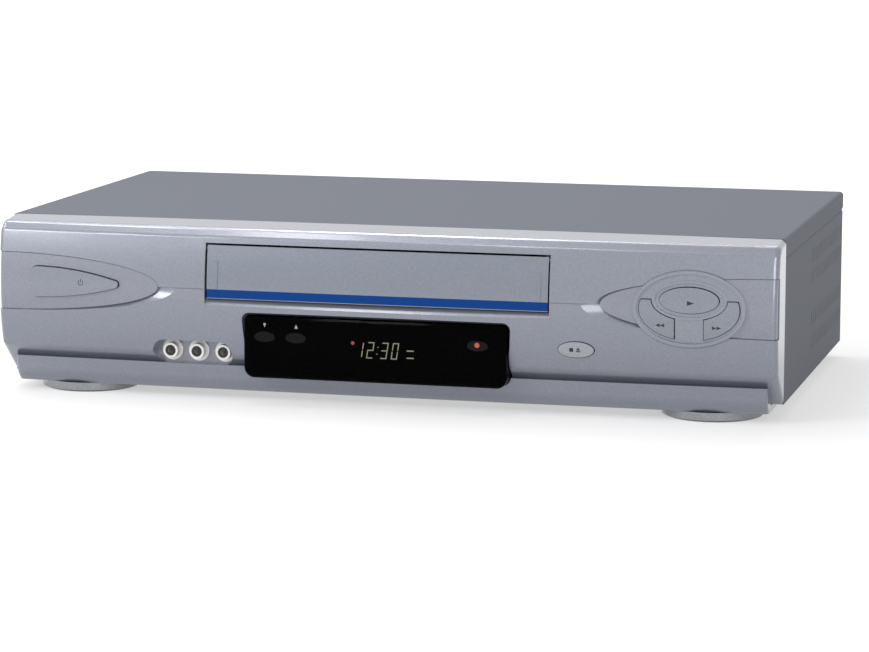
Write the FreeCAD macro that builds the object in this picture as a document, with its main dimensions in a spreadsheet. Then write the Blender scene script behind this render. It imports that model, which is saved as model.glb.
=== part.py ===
"""Video cassette recorder, full-size table deck, modelled as separate pieces.

Millimetres, +Z up. X runs across the deck, the front faces -Y, and the origin
lies on the floor under the middle of the whole object. Every size is a cell of
the sheet "dims"; shapes take their sizes from it by expression.
"""
import FreeCAD, Part
import math
import os
import re
import Sketcher

VECTOR = FreeCAD.Vector

# Driving dimensions, in millimetres, degrees and plain counts
DIMENSIONS = [
    # casing
    ("cover_width", 430.0),
    ("cover_depth", 216.4),
    ("overall_height", 96.5),
    ("underside_height", 9.0),
    ("sheet_steel", 1.0),
    ("cover_bend", 2.2),
    ("crease_drop", 10.3),
    ("crease_depth", 0.5),
    ("seam_gap", 0.3),
    ("louvre_width", 1.1),
    ("louvre_height", 7.5),
    ("louvre_pitch", 7.4),
    ("louvre_count", 16),
    ("louvre_start", 96.0),
    ("flange_drop", 9.0),
    ("tray_height", 14.0),
    ("side_clearance", 0.4),
    ("connector_reach", 8.1),
    ("crease_half_height", 1.0),
    ("louvre_row_1", 18.0),
    ("louvre_row_2", 30.0),
    ("louvre_row_3", 53.0),
    ("louvre_row_4", 66.5),
    ("pan_set_back", 0.5),
    ("pan_front_end", 3.0),
    ("screw_spread", 190.0),
    ("screw_drop", 5.4),
    ("screw_radius", 1.5),
    ("screw_head_radius", 3.0),
    ("screw_head_height", 1.8),
    ("rear_panel_thickness", 1.2),
    ("rear_panel_gap", 0.5),
    ("vent_row_start", 96.0),
    ("vent_front", 0.0),
    ("vent_length", 40.0),
    ("vent_row_pitch", 50.0),
    ("vent_width", 3.0),
    ("vent_pitch", 8.0),
    ("vent_count", 13),
    ("rear_vent_left", -150.0),
    ("rear_vent_low", 50.0),
    ("rear_vent_height", 30.0),
    ("rear_vent_count", 6),
    # moulded front panel
    ("lens_reach", 28.5),
    ("face_reach", 27.5),
    ("face_bow", 3.0),
    ("face_half_width", 211.0),
    ("face_full_drop", 41.0),
    ("upper_radius", 147.0),
    ("lower_radius", 107.0),
    ("brow_drop", 6.2),
    ("brow_slope_drop", 1.8),
    ("brow_reach", 17.6),
    ("shoulder_drop", 2.8),
    ("shoulder_reach", 19.7),
    ("face_foot_height", 26.5),
    ("undercut_reach", 5.0),
    ("undercut_height", 9.5),
    ("panel_wall", 3.2),
    ("panel_corner", 3.0),
    ("chin_half_width", 208.8),
    ("chin_corner", 2.0),
    ("chin_top_height", 19.9),
    ("chin_reach", 19.5),
    ("chin_clearance", 5.5),
    ("chin_bend_height", 14.5),
    ("chin_foot_reach", 13.75),
    ("chin_radius", 12.0),
    ("chin_floor", 2.3),
    ("cheek_width", 3.4),
    ("cheek_length", 15.0),
    # cassette opening and its door
    ("slot_half_width", 95.0),
    ("slot_top_drop", 9.5),
    ("slot_sill_drop", 40.0),
    ("sill_height", 3.2),
    ("tunnel_wall", 2.0),
    ("tunnel_back", 5.0),
    ("door_gap", 1.0),
    ("door_set_back", 0.8),
    ("door_wall", 2.2),
    ("door_axis_drop", 12.6),
    ("door_axis_reach", 20.4),
    ("door_pin_radius", 1.2),
    ("running_gap", 0.06),
    ("stripe_top_drop", 34.3),
    ("stripe_height", 4.6),
    ("stripe_depth", 0.9),
    ("door_rib_place", 89.0),
    ("door_rib_width", 2.0),
    ("door_rib_top", 19.0),
    ("door_rib_length", 14.5),
    ("door_rib_height", 0.5),
    ("door_lug_width", 2.0),
    ("door_lug_radius", 2.6),
    ("door_pin_length", 1.6),
    # swoosh inlays, scoops and power button
    ("inlay_centre", 213.0),
    ("inlay_drop", 34.0),
    ("inlay_half_length", 91.5),
    ("inlay_half_height", 15.9),
    ("inlay_thickness", 1.2),
    ("inlay_set_back", 0.6),
    ("fit_gap", 0.3),
    ("seat_gap", 0.05),
    ("inlay_gap", 0.45),
    ("inlay_end_reach", 18.5),
    ("skin_top_drop", 12.0),
    ("skin_foot_drop", 56.0),
    ("skin_back", 8.0),
    ("split_width", 0.5),
    ("split_depth", 0.8),
    ("scoop_half_length", 101.5),
    ("scoop_half_height", 16.8),
    ("scoop_reach", 24.3),
    ("scoop_depth", 2.3),
    ("lid_reach", 24.8),
    ("lid_depth", 1.8),
    ("lid_half_length", 93.5),
    ("lid_half_height", 17.2),
    ("power_left", 195.0),
    ("power_right", 144.5),
    ("power_half_height", 8.2),
    ("power_drop", 33.8),
    ("power_corner", 3.0),
    ("power_nose_radius", 2.0),
    ("power_stem_place", -172.0),
    ("power_proud", 1.1),
    # transport ring and its three keys
    ("ring_centre", 169.0),
    ("ring_drop", 35.0),
    ("ring_half_width", 29.5),
    ("ring_half_height", 20.0),
    ("ring_rim", 1.8),
    ("ring_gap", 0.45),
    ("key_gap", 0.45),
    ("ring_proud", 1.2),
    ("ring_thickness", 1.75),
    ("rim_height", 1.1),
    ("play_drop", 30.3),
    ("play_half_width", 15.5),
    ("play_half_height", 6.7),
    ("play_proud", 1.3),
    ("ridge_half_width", 19.6),
    ("ridge_half_height", 10.2),
    ("ridge_width", 1.3),
    ("key_outer_half_width", 26.3),
    ("key_outer_half_height", 16.3),
    ("key_inner_half_width", 20.2),
    ("key_inner_half_height", 10.8),
    ("key_top_drop", 30.5),
    ("key_inner_edge", 7.8),
    ("key_proud", 0.9),
    ("key_travel", 0.9),
    ("stem_width", 4.0),
    ("stem_front", 21.3),
    ("side_stem_place", 20.0),
    ("side_stem_drop", 41.0),
    ("flange_width", 1.2),
    ("flange_thickness", 1.2),
    ("switch_reach", 11.0),
    ("switch_gap", 0.1),
    # stop and eject key
    ("stop_place", 109.3),
    ("stop_drop", 58.7),
    ("stop_half_width", 9.5),
    ("stop_half_height", 4.2),
    # display window and its keys
    ("lens_half_width", 72.5),
    ("lens_top_drop", 47.8),
    ("lens_foot_drop", 81.0),
    ("lens_top_corner", 2.5),
    ("lens_foot_corner", 5.5),
    ("lens_depth", 15.0),
    ("lens_wall", 2.0),
    ("lens_edge", 1.0),
    ("bezel_width", 1.6),
    ("bezel_depth", 3.0),
    ("window_gap", 0.4),
    ("channel_down_place", -60.5),
    ("channel_up_place", -43.0),
    ("record_place", 57.0),
    ("window_key_drop", 58.4),
    ("window_key_half_width", 5.7),
    ("window_key_half_height", 2.8),
    ("window_key_proud", 0.9),
    # front jacks
    ("jack_bay_centre", -103.7),
    ("jack_bay_drop", 70.0),
    ("jack_bay_half_width", 22.6),
    ("jack_bay_half_height", 6.8),
    ("jack_bay_floor", 14.0),
    ("jack_first", -117.3),
    ("jack_pitch", 15.0),
    ("jack_count", 3),
    ("jack_radius", 4.15),
    ("jack_bore", 3.0),
    ("jack_collar_radius", 5.8),
    ("jack_front", 19.5),
    ("jack_drop", 69.7),
    ("bay_wall", 1.6),
    # feet
    ("foot_place", 175.5),
    ("foot_set_back", 14.5),
    ("foot_radius", 27.0),
    ("foot_trim_radius", 27.8),
    ("foot_neck_radius", 9.0),
    ("foot_trim_sweep", 150.0),
    ("foot_trim_lift", 1.0),
    ("foot_edge", 1.0),
    ("rear_foot_radius", 14.0),
    ("rear_foot_inset", 22.0),
    # boards and what they carry
    ("board_standoff", 2.0),
    ("board_thickness", 1.6),
    ("board_half_width", 205.0),
    ("board_front", -90.0),
    ("board_hole_inset", 6.0),
    ("board_hole_rear", 28.0),
    ("board_boss_radius", 3.5),
    ("deck_height", 26.0),
    ("deck_thickness", 1.5),
    ("deck_half_width", 108.0),
    ("deck_front", -88.0),
    ("deck_rear", 112.0),
    ("deck_hole_inset", 8.0),
    ("deck_post_radius", 4.0),
    ("tuner_place", 161.0),
    ("aerial_height", 31.0),
    ("aerial_pitch", 19.0),
    ("aerial_radius", 4.75),
    ("jack_block_left", 116.0),
    ("jack_block_right", 146.0),
    ("jack_block_low", 20.0),
    ("jack_block_top", 66.0),
    ("cord_place", -180.0),
    ("cord_height", 28.0),
    ("bush_radius", 6.0),
    ("board_reach", 5.4),
    ("front_board_low", 19.2),
    ("board_top_drop", 11.5),
    ("board_waist_gap", 5.5),
    ("board_notch_gap", 6.0),
    ("switch_width", 6.0),
    ("display_half_width", 33.0),
    ("display_top_drop", 56.0),
    ("display_foot_drop", 72.0),
    ("display_back_reach", 17.0),
    ("display_glass", 5.0),
    ("jack_body_side", 5.0),
    ("jack_collar", 1.2),
    ("jack_hole_depth", 9.0),
    ("board_rear", 110.0),
    ("board_step_x", 150.0),
    ("board_step_y", 40.0),
    ("transformer_x", -175.0),
    ("transformer_y", 70.0),
    ("core_half_width", 20.0),
    ("core_half_depth", 12.0),
    ("core_height", 38.0),
    ("core_leg", 7.0),
    ("coil_half_width", 13.0),
    ("coil_half_depth", 20.0),
    ("capacitor_x", -130.0),
    ("capacitor_y", 24.0),
    ("capacitor_pitch", 22.0),
    ("capacitor_radius", 8.0),
    ("capacitor_height", 26.0),
    ("sink_left", -148.0),
    ("sink_width", 36.0),
    ("sink_y", 70.0),
    ("sink_depth", 24.0),
    ("sink_height", 34.0),
    ("fin_thickness", 1.6),
    ("fin_count", 8),
    ("cord_bore", 3.2),
    ("bush_lip", 1.5),
    ("tuner_half_width", 11.0),
    ("tuner_front", 42.0),
    ("tuner_height", 52.0),
    ("aerial_bore", 3.6),
    ("aerial_nut", 2.0),
    ("aerial_nut_radius", 6.2),
    ("jack_block_inset", 0.6),
    ("jack_block_depth", 15.0),
    ("line_jack_length", 8.1),
    ("line_jack_pitch", 14.0),
    ("line_jack_start", 8.5),
    # tape mechanism on its deck
    ("shaft_clearance", 0.1),
    ("tooth_gap_tip", 0.84),
    ("tooth_gap_root", 0.42),
    ("capstan_x", 58.0),
    ("capstan_y", 34.0),
    ("capstan_radius", 2.0),
    ("capstan_tube_radius", 5.0),
    ("capstan_flange_radius", 9.0),
    ("capstan_tube_lift", 8.5),
    ("tape_path_lift", 28.5),
    ("capstan_pulley_radius", 8.0),
    ("flywheel_radius", 22.0),
    ("flywheel_hang", 11.6),
    ("flywheel_height", 3.6),
    ("belt_hang", 7.6),
    ("belt_height", 2.0),
    ("belt_thickness", 0.8),
    ("belt_gap", 0.1),
    ("idler_pivot_y", 12.0),
    ("idler_length", 30.15),
    ("idler_radius", 14.0),
    ("idler_pin_radius", 1.5),
    ("idler_arm_lift", 7.1),
    ("idler_arm_thickness", 1.5),
    ("clutch_radius", 16.0),
    ("clutch_height", 3.0),
    ("clutch_pulley_radius", 12.0),
    ("clutch_shaft_radius", 2.0),
    ("reel_place", 46.0),
    ("reel_y", -10.0),
    ("reel_lift", 1.0),
    ("reel_rim_radius", 22.0),
    ("reel_disc_radius", 16.0),
    ("reel_height", 5.5),
    ("reel_hub_radius", 7.0),
    ("reel_hub_height", 18.5),
    ("reel_tooth", 2.2),
    ("spindle_radius", 1.5),
    ("spindle_height", 19.5),
    ("pivot_radius", 2.0),
    ("pinch_pivot_x", 80.0),
    ("pinch_pivot_y", 46.0),
    ("pinch_x", 71.7),
    ("pinch_y", 23.4),
    ("pinch_roller_radius", 7.0),
    ("pinch_roller_lift", 8.5),
    ("pinch_arm_lift", 19.5),
    ("roller_pin_radius", 1.5),
    ("tension_pivot_x", -72.0),
    ("tension_pivot_y", 20.0),
    ("tension_x", -50.0),
    ("tension_y", 28.0),
    ("tension_arm_lift", 8.5),
    ("tape_pole_radius", 2.0),
    ("load_pivot_x", 6.9),
    ("load_pivot_y", 61.3),
    ("load_pivot_radius", 2.0),
    ("load_gear_hang", 4.7),
    ("load_gear_height", 2.7),
    ("load_teeth", 12),
    ("load_sweep", 79.0),
    ("load_post_radius", 2.5),
    ("post_rest_x", 30.0),
    ("post_rest_y", 30.0),
    ("load_rest_angle", -53.6),
    ("post_slot_width", 7.0),
    ("slot_overrun", 9.0),
    ("drum_y", 80.0),
    ("drum_tilt", 5.96),
    ("drum_radius", 31.0),
    ("drum_gap_lift", 18.5),
    ("drum_gap", 0.4),
    ("drum_lower_height", 12.0),
    ("drum_upper_height", 16.0),
    ("drum_boss_radius", 7.0),
    ("drum_pin_radius", 3.0),
    ("drum_base_radius", 24.0),
    ("drum_base_height", 2.5),
    ("erase_x", 62.0),
    ("erase_y", 50.0),
    ("audio_x", 63.0),
    ("audio_y", 60.0),
    ("head_lift", 10.5),
    # cassette lift
    ("guide_inner", 98.6),
    ("guide_thickness", 1.2),
    ("guide_front", -88.0),
    ("guide_rear", 46.0),
    ("guide_top", 88.0),
    ("guide_flange", 8.0),
    ("guide_slot_width", 3.4),
    ("ear_half_width", 5.0),
    ("ear_top", 94.0),
    ("brace_front", 6.0),
    ("brace_rear", 34.0),
    ("drive_y", -24.0),
    ("drive_z", 90.2),
    ("drive_shaft_radius", 1.5),
    ("rack_module", 1.0),
    ("pinion_teeth", 8),
    ("rack_gaps", 23),
    ("rack_gap_root", 0.23),
    ("rack_gap_tip", 0.44),
    ("carriage_inner", 96.9),
    ("carriage_thickness", 1.2),
    ("carriage_front", -92.0),
    ("carriage_rear", -20.0),
    ("carriage_low", 32.0),
    ("carriage_bar_y", -62.0),
    ("carriage_bar_depth", 10.0),
    ("carriage_bar_low", 83.6),
    ("holder_half_width", 94.9),
    ("holder_sheet", 1.2),
    ("holder_lip", 13.0),
    ("holder_front", -87.0),
    ("holder_rear", -21.0),
    ("holder_low", 55.4),
    ("holder_top", 83.2),
    ("holder_pin_y", -38.0),
    ("holder_pin_z", 70.0),
    ("holder_pin_pitch", 32.0),
    ("holder_pin_radius", 1.5),
    ("pin_end_gap", 0.3),
    ("holder_travel", 64.0),
    ("holder_drop", 24.0),
    ("worm_wheel_x", 108.0),
    ("worm_wheel_width", 4.0),
    ("worm_wheel_radius", 5.0),
    ("worm_radius", 4.0),
    ("worm_length", 22.0),
    ("worm_z", 80.6),
    ("worm_shaft_radius", 1.0),
    ("worm_shaft_seat", 6.0),
    ("motor_x", 110.4),
    ("motor_front", -8.0),
    ("motor_length", 26.0),
    ("motor_radius", 10.0),
]

doc = FreeCAD.newDocument("video_cassette_recorder")
dims = doc.addObject("Spreadsheet::Sheet", "dims")
for row, (alias, size) in enumerate(DIMENSIONS, start=1):
    dims.set(f"A{row}", alias.replace("_", " "))
    dims.set(f"B{row}", str(size))
    dims.setAlias(f"B{row}", alias)
doc.recompute()

# Places that follow from other sizes: the lower face is measured up from the floor, the tape
# path from its deck, and the front board from the cassette opening
DERIVED = {
    "face_foot_drop": "overall_height - face_foot_height",
    "undercut_drop": "overall_height - undercut_height",
    "chin_top_drop": "overall_height - chin_top_height",
    "chin_bend_drop": "overall_height - chin_bend_height",
    "chin_drop": "overall_height - chin_clearance",
    "foot_height": "chin_clearance - fit_gap",
    "front_board_top": "overall_height - board_top_drop",
    "front_board_waist": "overall_height - slot_sill_drop - board_waist_gap",
    "front_board_notch": "slot_half_width + board_notch_gap",
    "deck_top": "deck_height + deck_thickness",
    "capstan_tube_top": "deck_top + capstan_tube_lift",
    "capstan_top": "deck_top + tape_path_lift",
    "tape_ceiling": "deck_top + tape_path_lift",
    "idler_arm_low": "deck_top + idler_arm_lift",
    "reel_low": "deck_top + reel_lift",
    "pinch_roller_low": "deck_top + pinch_roller_lift",
    "pinch_arm_low": "deck_top + pinch_arm_lift",
    "tension_arm_low": "deck_top + tension_arm_lift",
    "drum_gap_height": "deck_top + drum_gap_lift",
    "head_low": "deck_top + head_lift",
    "flywheel_low": "deck_height - flywheel_hang",
    "belt_low": "deck_height - belt_hang",
    "load_gear_low": "deck_height - load_gear_hang",
}

# Helpers that read the sheet
FUNCTIONS = {"sqrt", "sin", "cos", "tan", "asin", "acos", "atan2", "abs", "min", "max"}
WORD = re.compile(r"[a-z][a-z0-9_]+")
subparts = []


def bound(text):
    """The text of an expression, with each size taken from the sheet and each derived place worked out."""
    def taken(match):
        word = match.group()
        if word in DERIVED:
            return f"({bound(DERIVED[word])})"
        return word if word in FUNCTIONS else "dims." + word
    return WORD.sub(taken, str(text))


def value(text):
    return float(dims.evalExpression(bound(text)))


def bind(thing, name, text):
    thing.setExpression(name, bound(text))


def place(thing, x="0", y="0", z="0"):
    for axis, text in zip("xyz", (x, y, z)):
        bind(thing, f"Placement.Base.{axis}", text)
    return thing


def aim(thing, x, y, angle):
    """Set a piece on its pivot, turned about the upright axis."""
    place(thing, x, y)
    thing.Placement.Rotation = FreeCAD.Rotation(VECTOR(0, 0, 1), value(angle))
    bind(thing, "Placement.Rotation.Angle", angle)
    return thing


def keep(thing, label):
    """Name a finished sub-part, which becomes one file."""
    thing.Label = label
    subparts.append(thing)
    return thing


# Helpers for sketches: every corner is pinned by an expression
def new_body(name):
    return doc.addObject("PartDesign::Body", name)


def sketch_on(body, role, at="0", shift_x="0"):
    """A sketch on one of the body's own origin planes: on the front plane at is Y, and the sketch
    looks towards -Y; on the side plane at is X; on the ground plane at is Z."""
    sketch = body.newObject("Sketcher::SketchObject", body.Name + "_sketch")
    plane = next(item for item in body.Origin.OriginFeatures if item.Role == role)
    sketch.AttachmentSupport = [(plane, "")]
    sketch.MapMode = "FlatFace"
    bind(sketch, "AttachmentOffset.Base.z", f"-({at})" if role == "XZ_Plane" else at)
    bind(sketch, "AttachmentOffset.Base.x", shift_x)
    return sketch


def ground(body, at="0"):
    return sketch_on(body, "XY_Plane", at)


def front(body, at="0"):
    return sketch_on(body, "XZ_Plane", at)


def side(body, at="0", shift_x="0"):
    return sketch_on(body, "YZ_Plane", at, shift_x)


def constrain(sketch, kind, *items):
    text = items[-1]
    index = sketch.addConstraint(Sketcher.Constraint(kind, *items[:-1], value(text)))
    bind(sketch, f"Constraints[{index}]", text)


def pin(sketch, line, end, x, y):
    constrain(sketch, "DistanceX", line, end, x)
    constrain(sketch, "DistanceY", line, end, y)


def arc_between(start, end, radius, turn):
    """The shorter arc from start to end; turn is 1 with its centre on the left, -1 on the right."""
    chord = end - start
    reach = math.sqrt(max(radius ** 2 - chord.Length ** 2 / 4, 0.0))
    across = VECTOR(-chord.y, chord.x, 0).normalize() * turn
    centre = (start + end) / 2 + across * reach
    middle = centre - across * radius
    return Part.Arc(start, middle, end)


def outline(sketch, corners, closing=()):
    """A closed outline. A corner is (x, y), or (x, y, radius, turn) where an arc arrives at it; closing
    is the (radius, turn) of an arc that arrives at the first corner."""
    corners = [tuple(corners[0][:2]) + tuple(closing)] + list(corners[1:])
    points = [VECTOR(value(corner[0]), value(corner[1]), 0) for corner in corners]
    first = sketch.GeometryCount
    ends = []
    for number in range(len(corners)):
        start, end = points[number], points[(number + 1) % len(corners)]
        arriving = corners[(number + 1) % len(corners)]
        if len(arriving) == 4:
            sketch.addGeometry(arc_between(start, end, value(arriving[2]), arriving[3]), False)
        else:
            sketch.addGeometry(Part.LineSegment(start, end), False)
        line = first + number
        forwards = sketch.getPoint(line, 1).distanceToPoint(start) < 1e-4
        ends.append((1, 2) if forwards else (2, 1))
    for number, corner in enumerate(corners):
        after = (number + 1) % len(corners)
        sketch.addConstraint(Sketcher.Constraint(
            "Coincident", first + number, ends[number][1], first + after, ends[after][0]))
        pin(sketch, first + number, ends[number][0], corner[0], corner[1])
        arriving = corners[after]
        if len(arriving) == 4:
            constrain(sketch, "Radius", first + number, arriving[2])


def rectangle(sketch, left, right, low, high):
    outline(sketch, [(left, low), (right, low), (right, high), (left, high)])


def circle(sketch, x, y, radius):
    sketch.addGeometry(Part.Circle(VECTOR(value(x), value(y), 0), VECTOR(0, 0, 1), value(radius)), False)
    line = sketch.GeometryCount - 1
    pin(sketch, line, 3, x, y)
    constrain(sketch, "Radius", line, radius)


def oval(sketch, x, y, half_width, half_height):
    """An ellipse whose longer axis lies across, held by its two axis lines."""
    curve = Part.Ellipse(VECTOR(value(x), value(y), 0), value(half_width), value(half_height))
    sketch.addGeometry(curve, False)
    line = sketch.GeometryCount - 1
    sketch.exposeInternalGeometry(line)
    pin(sketch, line, 3, x, y)
    sketch.addConstraint(Sketcher.Constraint("Horizontal", line + 1))
    constrain(sketch, "Distance", line + 1, f"2 * ({half_width})")
    constrain(sketch, "Distance", line + 2, f"2 * ({half_height})")


# Helpers for features
def feature(body, kind, sketch):
    thing = body.newObject("PartDesign::" + kind, body.Name + "_" + kind.lower())
    thing.Profile = sketch
    return thing


def extrude(body, kind, sketch, length, both=False, back=False, through=False):
    thing = feature(body, kind, sketch)
    if through:
        thing.Type = "ThroughAll"
    else:
        bind(thing, "Length", length)
    thing.SideType = "Symmetric" if both else "One side"
    thing.Reversed = back
    doc.recompute()
    return thing


def pad(body, sketch, length, both=False, back=False):
    """Material along the sketch's normal: up, towards -Y or towards +X; back turns it round."""
    return extrude(body, "Pad", sketch, length, both, back)


def pocket(body, sketch, length="1", both=False, back=False, through=False):
    """A cut against the sketch's normal: down, towards +Y or towards -X; back turns it round."""
    before = body.Shape.Volume
    thing = extrude(body, "Pocket", sketch, length, both, back, through)
    if body.Shape.Volume > before - 1e-6:
        raise RuntimeError(f"{thing.Name} cuts nothing")
    return thing


def turn(body, kind, sketch, angle="360", both=False):
    """Revolve the sketch about its own upright axis."""
    thing = feature(body, kind, sketch)
    thing.ReferenceAxis = (sketch, ["V_Axis"])
    bind(thing, "Angle", angle)
    thing.Midplane = both
    doc.recompute()
    return thing


def repeat(body, thing, direction, length, count):
    """A row of copies of a feature along one of the body's axes."""
    row = body.newObject("PartDesign::LinearPattern", thing.Name + "_row")
    row.Originals = [thing]
    axis = next(item for item in body.Origin.OriginFeatures if item.Role == direction)
    row.Direction = (axis, [""])
    bind(row, "Length", length)
    bind(row, "Occurrences", count)
    body.Tip = row
    doc.recompute()
    return row


def ring_of(body, thing, count, role="Z_Axis"):
    """Copies of a feature round one of the body's axes."""
    circle_row = body.newObject("PartDesign::PolarPattern", thing.Name + "_ring")
    circle_row.Originals = [thing]
    axis = next(item for item in body.Origin.OriginFeatures if item.Role == role)
    circle_row.Axis = (axis, [""])
    circle_row.Angle = 360
    bind(circle_row, "Occurrences", count)
    body.Tip = circle_row
    doc.recompute()
    return circle_row


def soften(body, kind, size, wanted):
    """Fillet or Chamfer on the edges of the body that wanted(edge) picks."""
    solid = body.Tip
    names = [f"Edge{number}" for number, edge in enumerate(solid.Shape.Edges, start=1) if wanted(edge)]
    thing = body.newObject("PartDesign::" + kind, body.Name + "_" + kind.lower())
    thing.Base = (solid, names)
    bind(thing, "Radius" if kind == "Fillet" else "Size", size)
    doc.recompute()
    return thing


def cut(base, *tools):
    """The first shape less each of the others; tools that lie apart come as one group."""
    for tool in tools:
        result = doc.addObject("Part::Cut", base.Name + "_cut")
        result.Base = base
        result.Tool = tool
        base = result
    doc.recompute()
    return base


def common(first, second):
    result = doc.addObject("Part::Common", first.Name + "_part")
    result.Base = first
    result.Tool = second
    doc.recompute()
    return result


def join(*shapes):
    result = doc.addObject("Part::MultiFuse", shapes[0].Name + "_joined")
    result.Shapes = list(shapes)
    doc.recompute()
    return result


def group(*shapes):
    result = doc.addObject("Part::Compound", shapes[0].Name + "_group")
    result.Links = list(shapes)
    doc.recompute()
    return result


def block(name, x0, x1, y0, y1, z0, z1):
    """A square-edged pad between six planes, given by expressions."""
    body = new_body(name)
    sketch = ground(body, z0)
    rectangle(sketch, x0, x1, y0, y1)
    pad(body, sketch, f"({z1}) - ({z0})")
    return body


def turned(name, corners):
    """A turned piece about its own upright axis, from corners (radius, height)."""
    body = new_body(name)
    sketch = front(body)
    outline(sketch, corners)
    turn(body, "Revolution", sketch)
    return body


def toothed(name, teeth, tip, root, low, high, bore):
    """A spur wheel about its own upright axis: a blank with its tooth gaps cut in a ring."""
    body = new_body(name)
    sketch = ground(body, low)
    circle(sketch, "0", "0", tip)
    circle(sketch, "0", "0", bore)
    pad(body, sketch, f"({high}) - ({low})")
    gap = ground(body, high)
    half_tip = f"(({tip}) * sin(180 / ({teeth})) * tooth_gap_tip)"
    half_root = f"(({root}) * sin(180 / ({teeth})) * tooth_gap_root)"
    outline(gap, [(f"-{half_root}", root), (half_root, root),
                  (half_tip, f"({tip}) + 0.5"), (f"-{half_tip}", f"({tip}) + 0.5")])
    notch = pocket(body, gap, f"({high}) - ({low})")
    ring_of(body, notch, teeth)
    return body

# Reference places, as expressions
DEPTH = "(lens_reach + cover_depth + connector_reach)"
SEAM = f"(lens_reach - {DEPTH} / 2)"
REAR = f"({SEAM} + cover_depth)"
BOW_RADIUS = "((face_half_width * face_half_width + face_bow * face_bow) / (2 * face_bow))"
BOW_AXIS = f"({SEAM} - face_reach + {BOW_RADIUS})"
BOW_SWEEP = f"(2 * asin((cover_width / 2 + 6) / {BOW_RADIUS}))"


def down(text):
    """A height given as a drop from the top of the deck."""
    return f"(overall_height - ({text}))"


def ahead(text):
    """A place in front of the seam between cover and front panel."""
    return f"({SEAM} - ({text}))"


def face_at(drop, proud="0"):
    """How far the front face stands ahead of the seam at a given drop, on the centre line."""
    radius = "upper_radius" if value(drop) < value("face_full_drop") else "lower_radius"
    rise = f"(face_full_drop - ({drop}))"
    return (f"(face_reach - {radius} + sqrt(({radius} + ({proud})) * ({radius} + ({proud}))"
            f" - {rise} * {rise}))")


def bowed(corners):
    """Corners (reach ahead of the seam, drop from the top) moved to a sketch about the bow axis."""
    moved = []
    for corner in corners:
        spot = (f"({ahead(corner[0])} - {BOW_AXIS})", down(corner[1]))
        moved.append(spot + tuple(corner[2:]))
    return moved


def face_band(proud, thickness, top, foot):
    """The section of a layer that follows the front face, standing proud of it by a given amount."""
    inner = f"(({proud}) - ({thickness}))"
    return bowed([
        (face_at(top, proud), top),
        (f"face_reach + ({proud})", "face_full_drop", f"upper_radius + ({proud})", 1),
        (face_at(foot, proud), foot, f"lower_radius + ({proud})", 1),
        (face_at(foot, inner), foot),
        (f"face_reach + {inner}", "face_full_drop", f"lower_radius + {inner}", -1),
        (face_at(top, inner), top, f"upper_radius + {inner}", -1),
    ])


layers = {}


def face_layer(proud, thickness):
    """A curved plate parallel to the front face, turned about the distant upright bow axis."""
    key = (proud, thickness)
    if key not in layers:
        body = new_body(f"face_layer_{len(layers) + 1}")
        sketch = side(body, "0", BOW_AXIS)
        outline(sketch, face_band(proud, thickness, "2.0", "face_foot_drop + 2"))
        turn(body, "Revolution", sketch, BOW_SWEEP, both=True)
        layers[key] = body
    return layers[key]


def column(name, draw, reach_back="8", reach_front="34"):
    """A straight prism through the front panel, drawn on the front plane by draw(sketch)."""
    body = new_body(name)
    sketch = front(body, ahead(reach_back))
    draw(sketch)
    pad(body, sketch, f"({reach_front}) - ({reach_back})")
    return body


def oval_column(name, x, drop, half_width, half_height, grow="0", reach_back="8"):
    return column(name, lambda sketch: oval(
        sketch, x, down(drop), f"({half_width}) + ({grow})", f"({half_height}) + ({grow})"), reach_back)


def on_face(proud, thickness, prism):
    return common(face_layer(proud, thickness), prism)


def bowed_body(name, corners, half_width, corner, at_front):
    """A bowed section between square ends, trimmed at the seam, with the end edges that at_front picks
    rounded."""
    body = new_body(name)
    sketch = side(body, "0", BOW_AXIS)
    outline(sketch, bowed(corners))
    turn(body, "Revolution", sketch, BOW_SWEEP, both=True)
    sketch = ground(body, "overall_height + 1")
    rectangle(sketch, "-cover_width", "cover_width", ahead("60"), f"{SEAM} + 60")
    rectangle(sketch, f"-({half_width})", half_width, ahead("50"), SEAM)
    pocket(body, sketch, "overall_height + 2")
    end = value(half_width)
    soften(body, "Fillet", corner, lambda edge: at_front(edge.BoundBox)
           and abs(abs(edge.BoundBox.XMin) - end) < 1e-4 and abs(abs(edge.BoundBox.XMax) - end) < 1e-4)
    return body


def skin(name, inset):
    """All that lies more than inset behind the middle of the face, with the panel's rounded ends."""
    top, foot = "skin_top_drop", "skin_foot_drop"
    return bowed_body(name, [
        ("skin_back", top), (face_at(top, f"-({inset})"), top),
        (f"face_reach - ({inset})", "face_full_drop", f"upper_radius - ({inset})", 1),
        (face_at(foot, f"-({inset})"), foot, f"lower_radius - ({inset})", 1), ("skin_back", foot)],
        f"cover_width / 2 - ({inset})", f"panel_corner - ({inset})",
        lambda box: box.YMax < value(ahead("(skin_back + face_reach) / 2")))


def window_outline(sketch, grow="0"):
    """The display window seen from the front: small corners above, larger ones below."""
    half = f"(lens_half_width + ({grow}))"
    high = down(f"lens_top_drop - ({grow})")
    low = down(f"lens_foot_drop + ({grow})")
    top_corner = f"(lens_top_corner + ({grow}))"
    foot_corner = f"(lens_foot_corner + ({grow}))"
    outline(sketch, [
        (f"-{half}", f"{low} + {foot_corner}"),
        (f"-{half} + {foot_corner}", low, foot_corner, 1),
        (f"{half} - {foot_corner}", low),
        (half, f"{low} + {foot_corner}", foot_corner, 1),
        (half, f"{high} - {top_corner}"),
        (f"{half} - {top_corner}", high, top_corner, 1),
        (f"-{half} + {top_corner}", high),
        (f"-{half}", f"{high} - {top_corner}", top_corner, 1),
    ])


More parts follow.
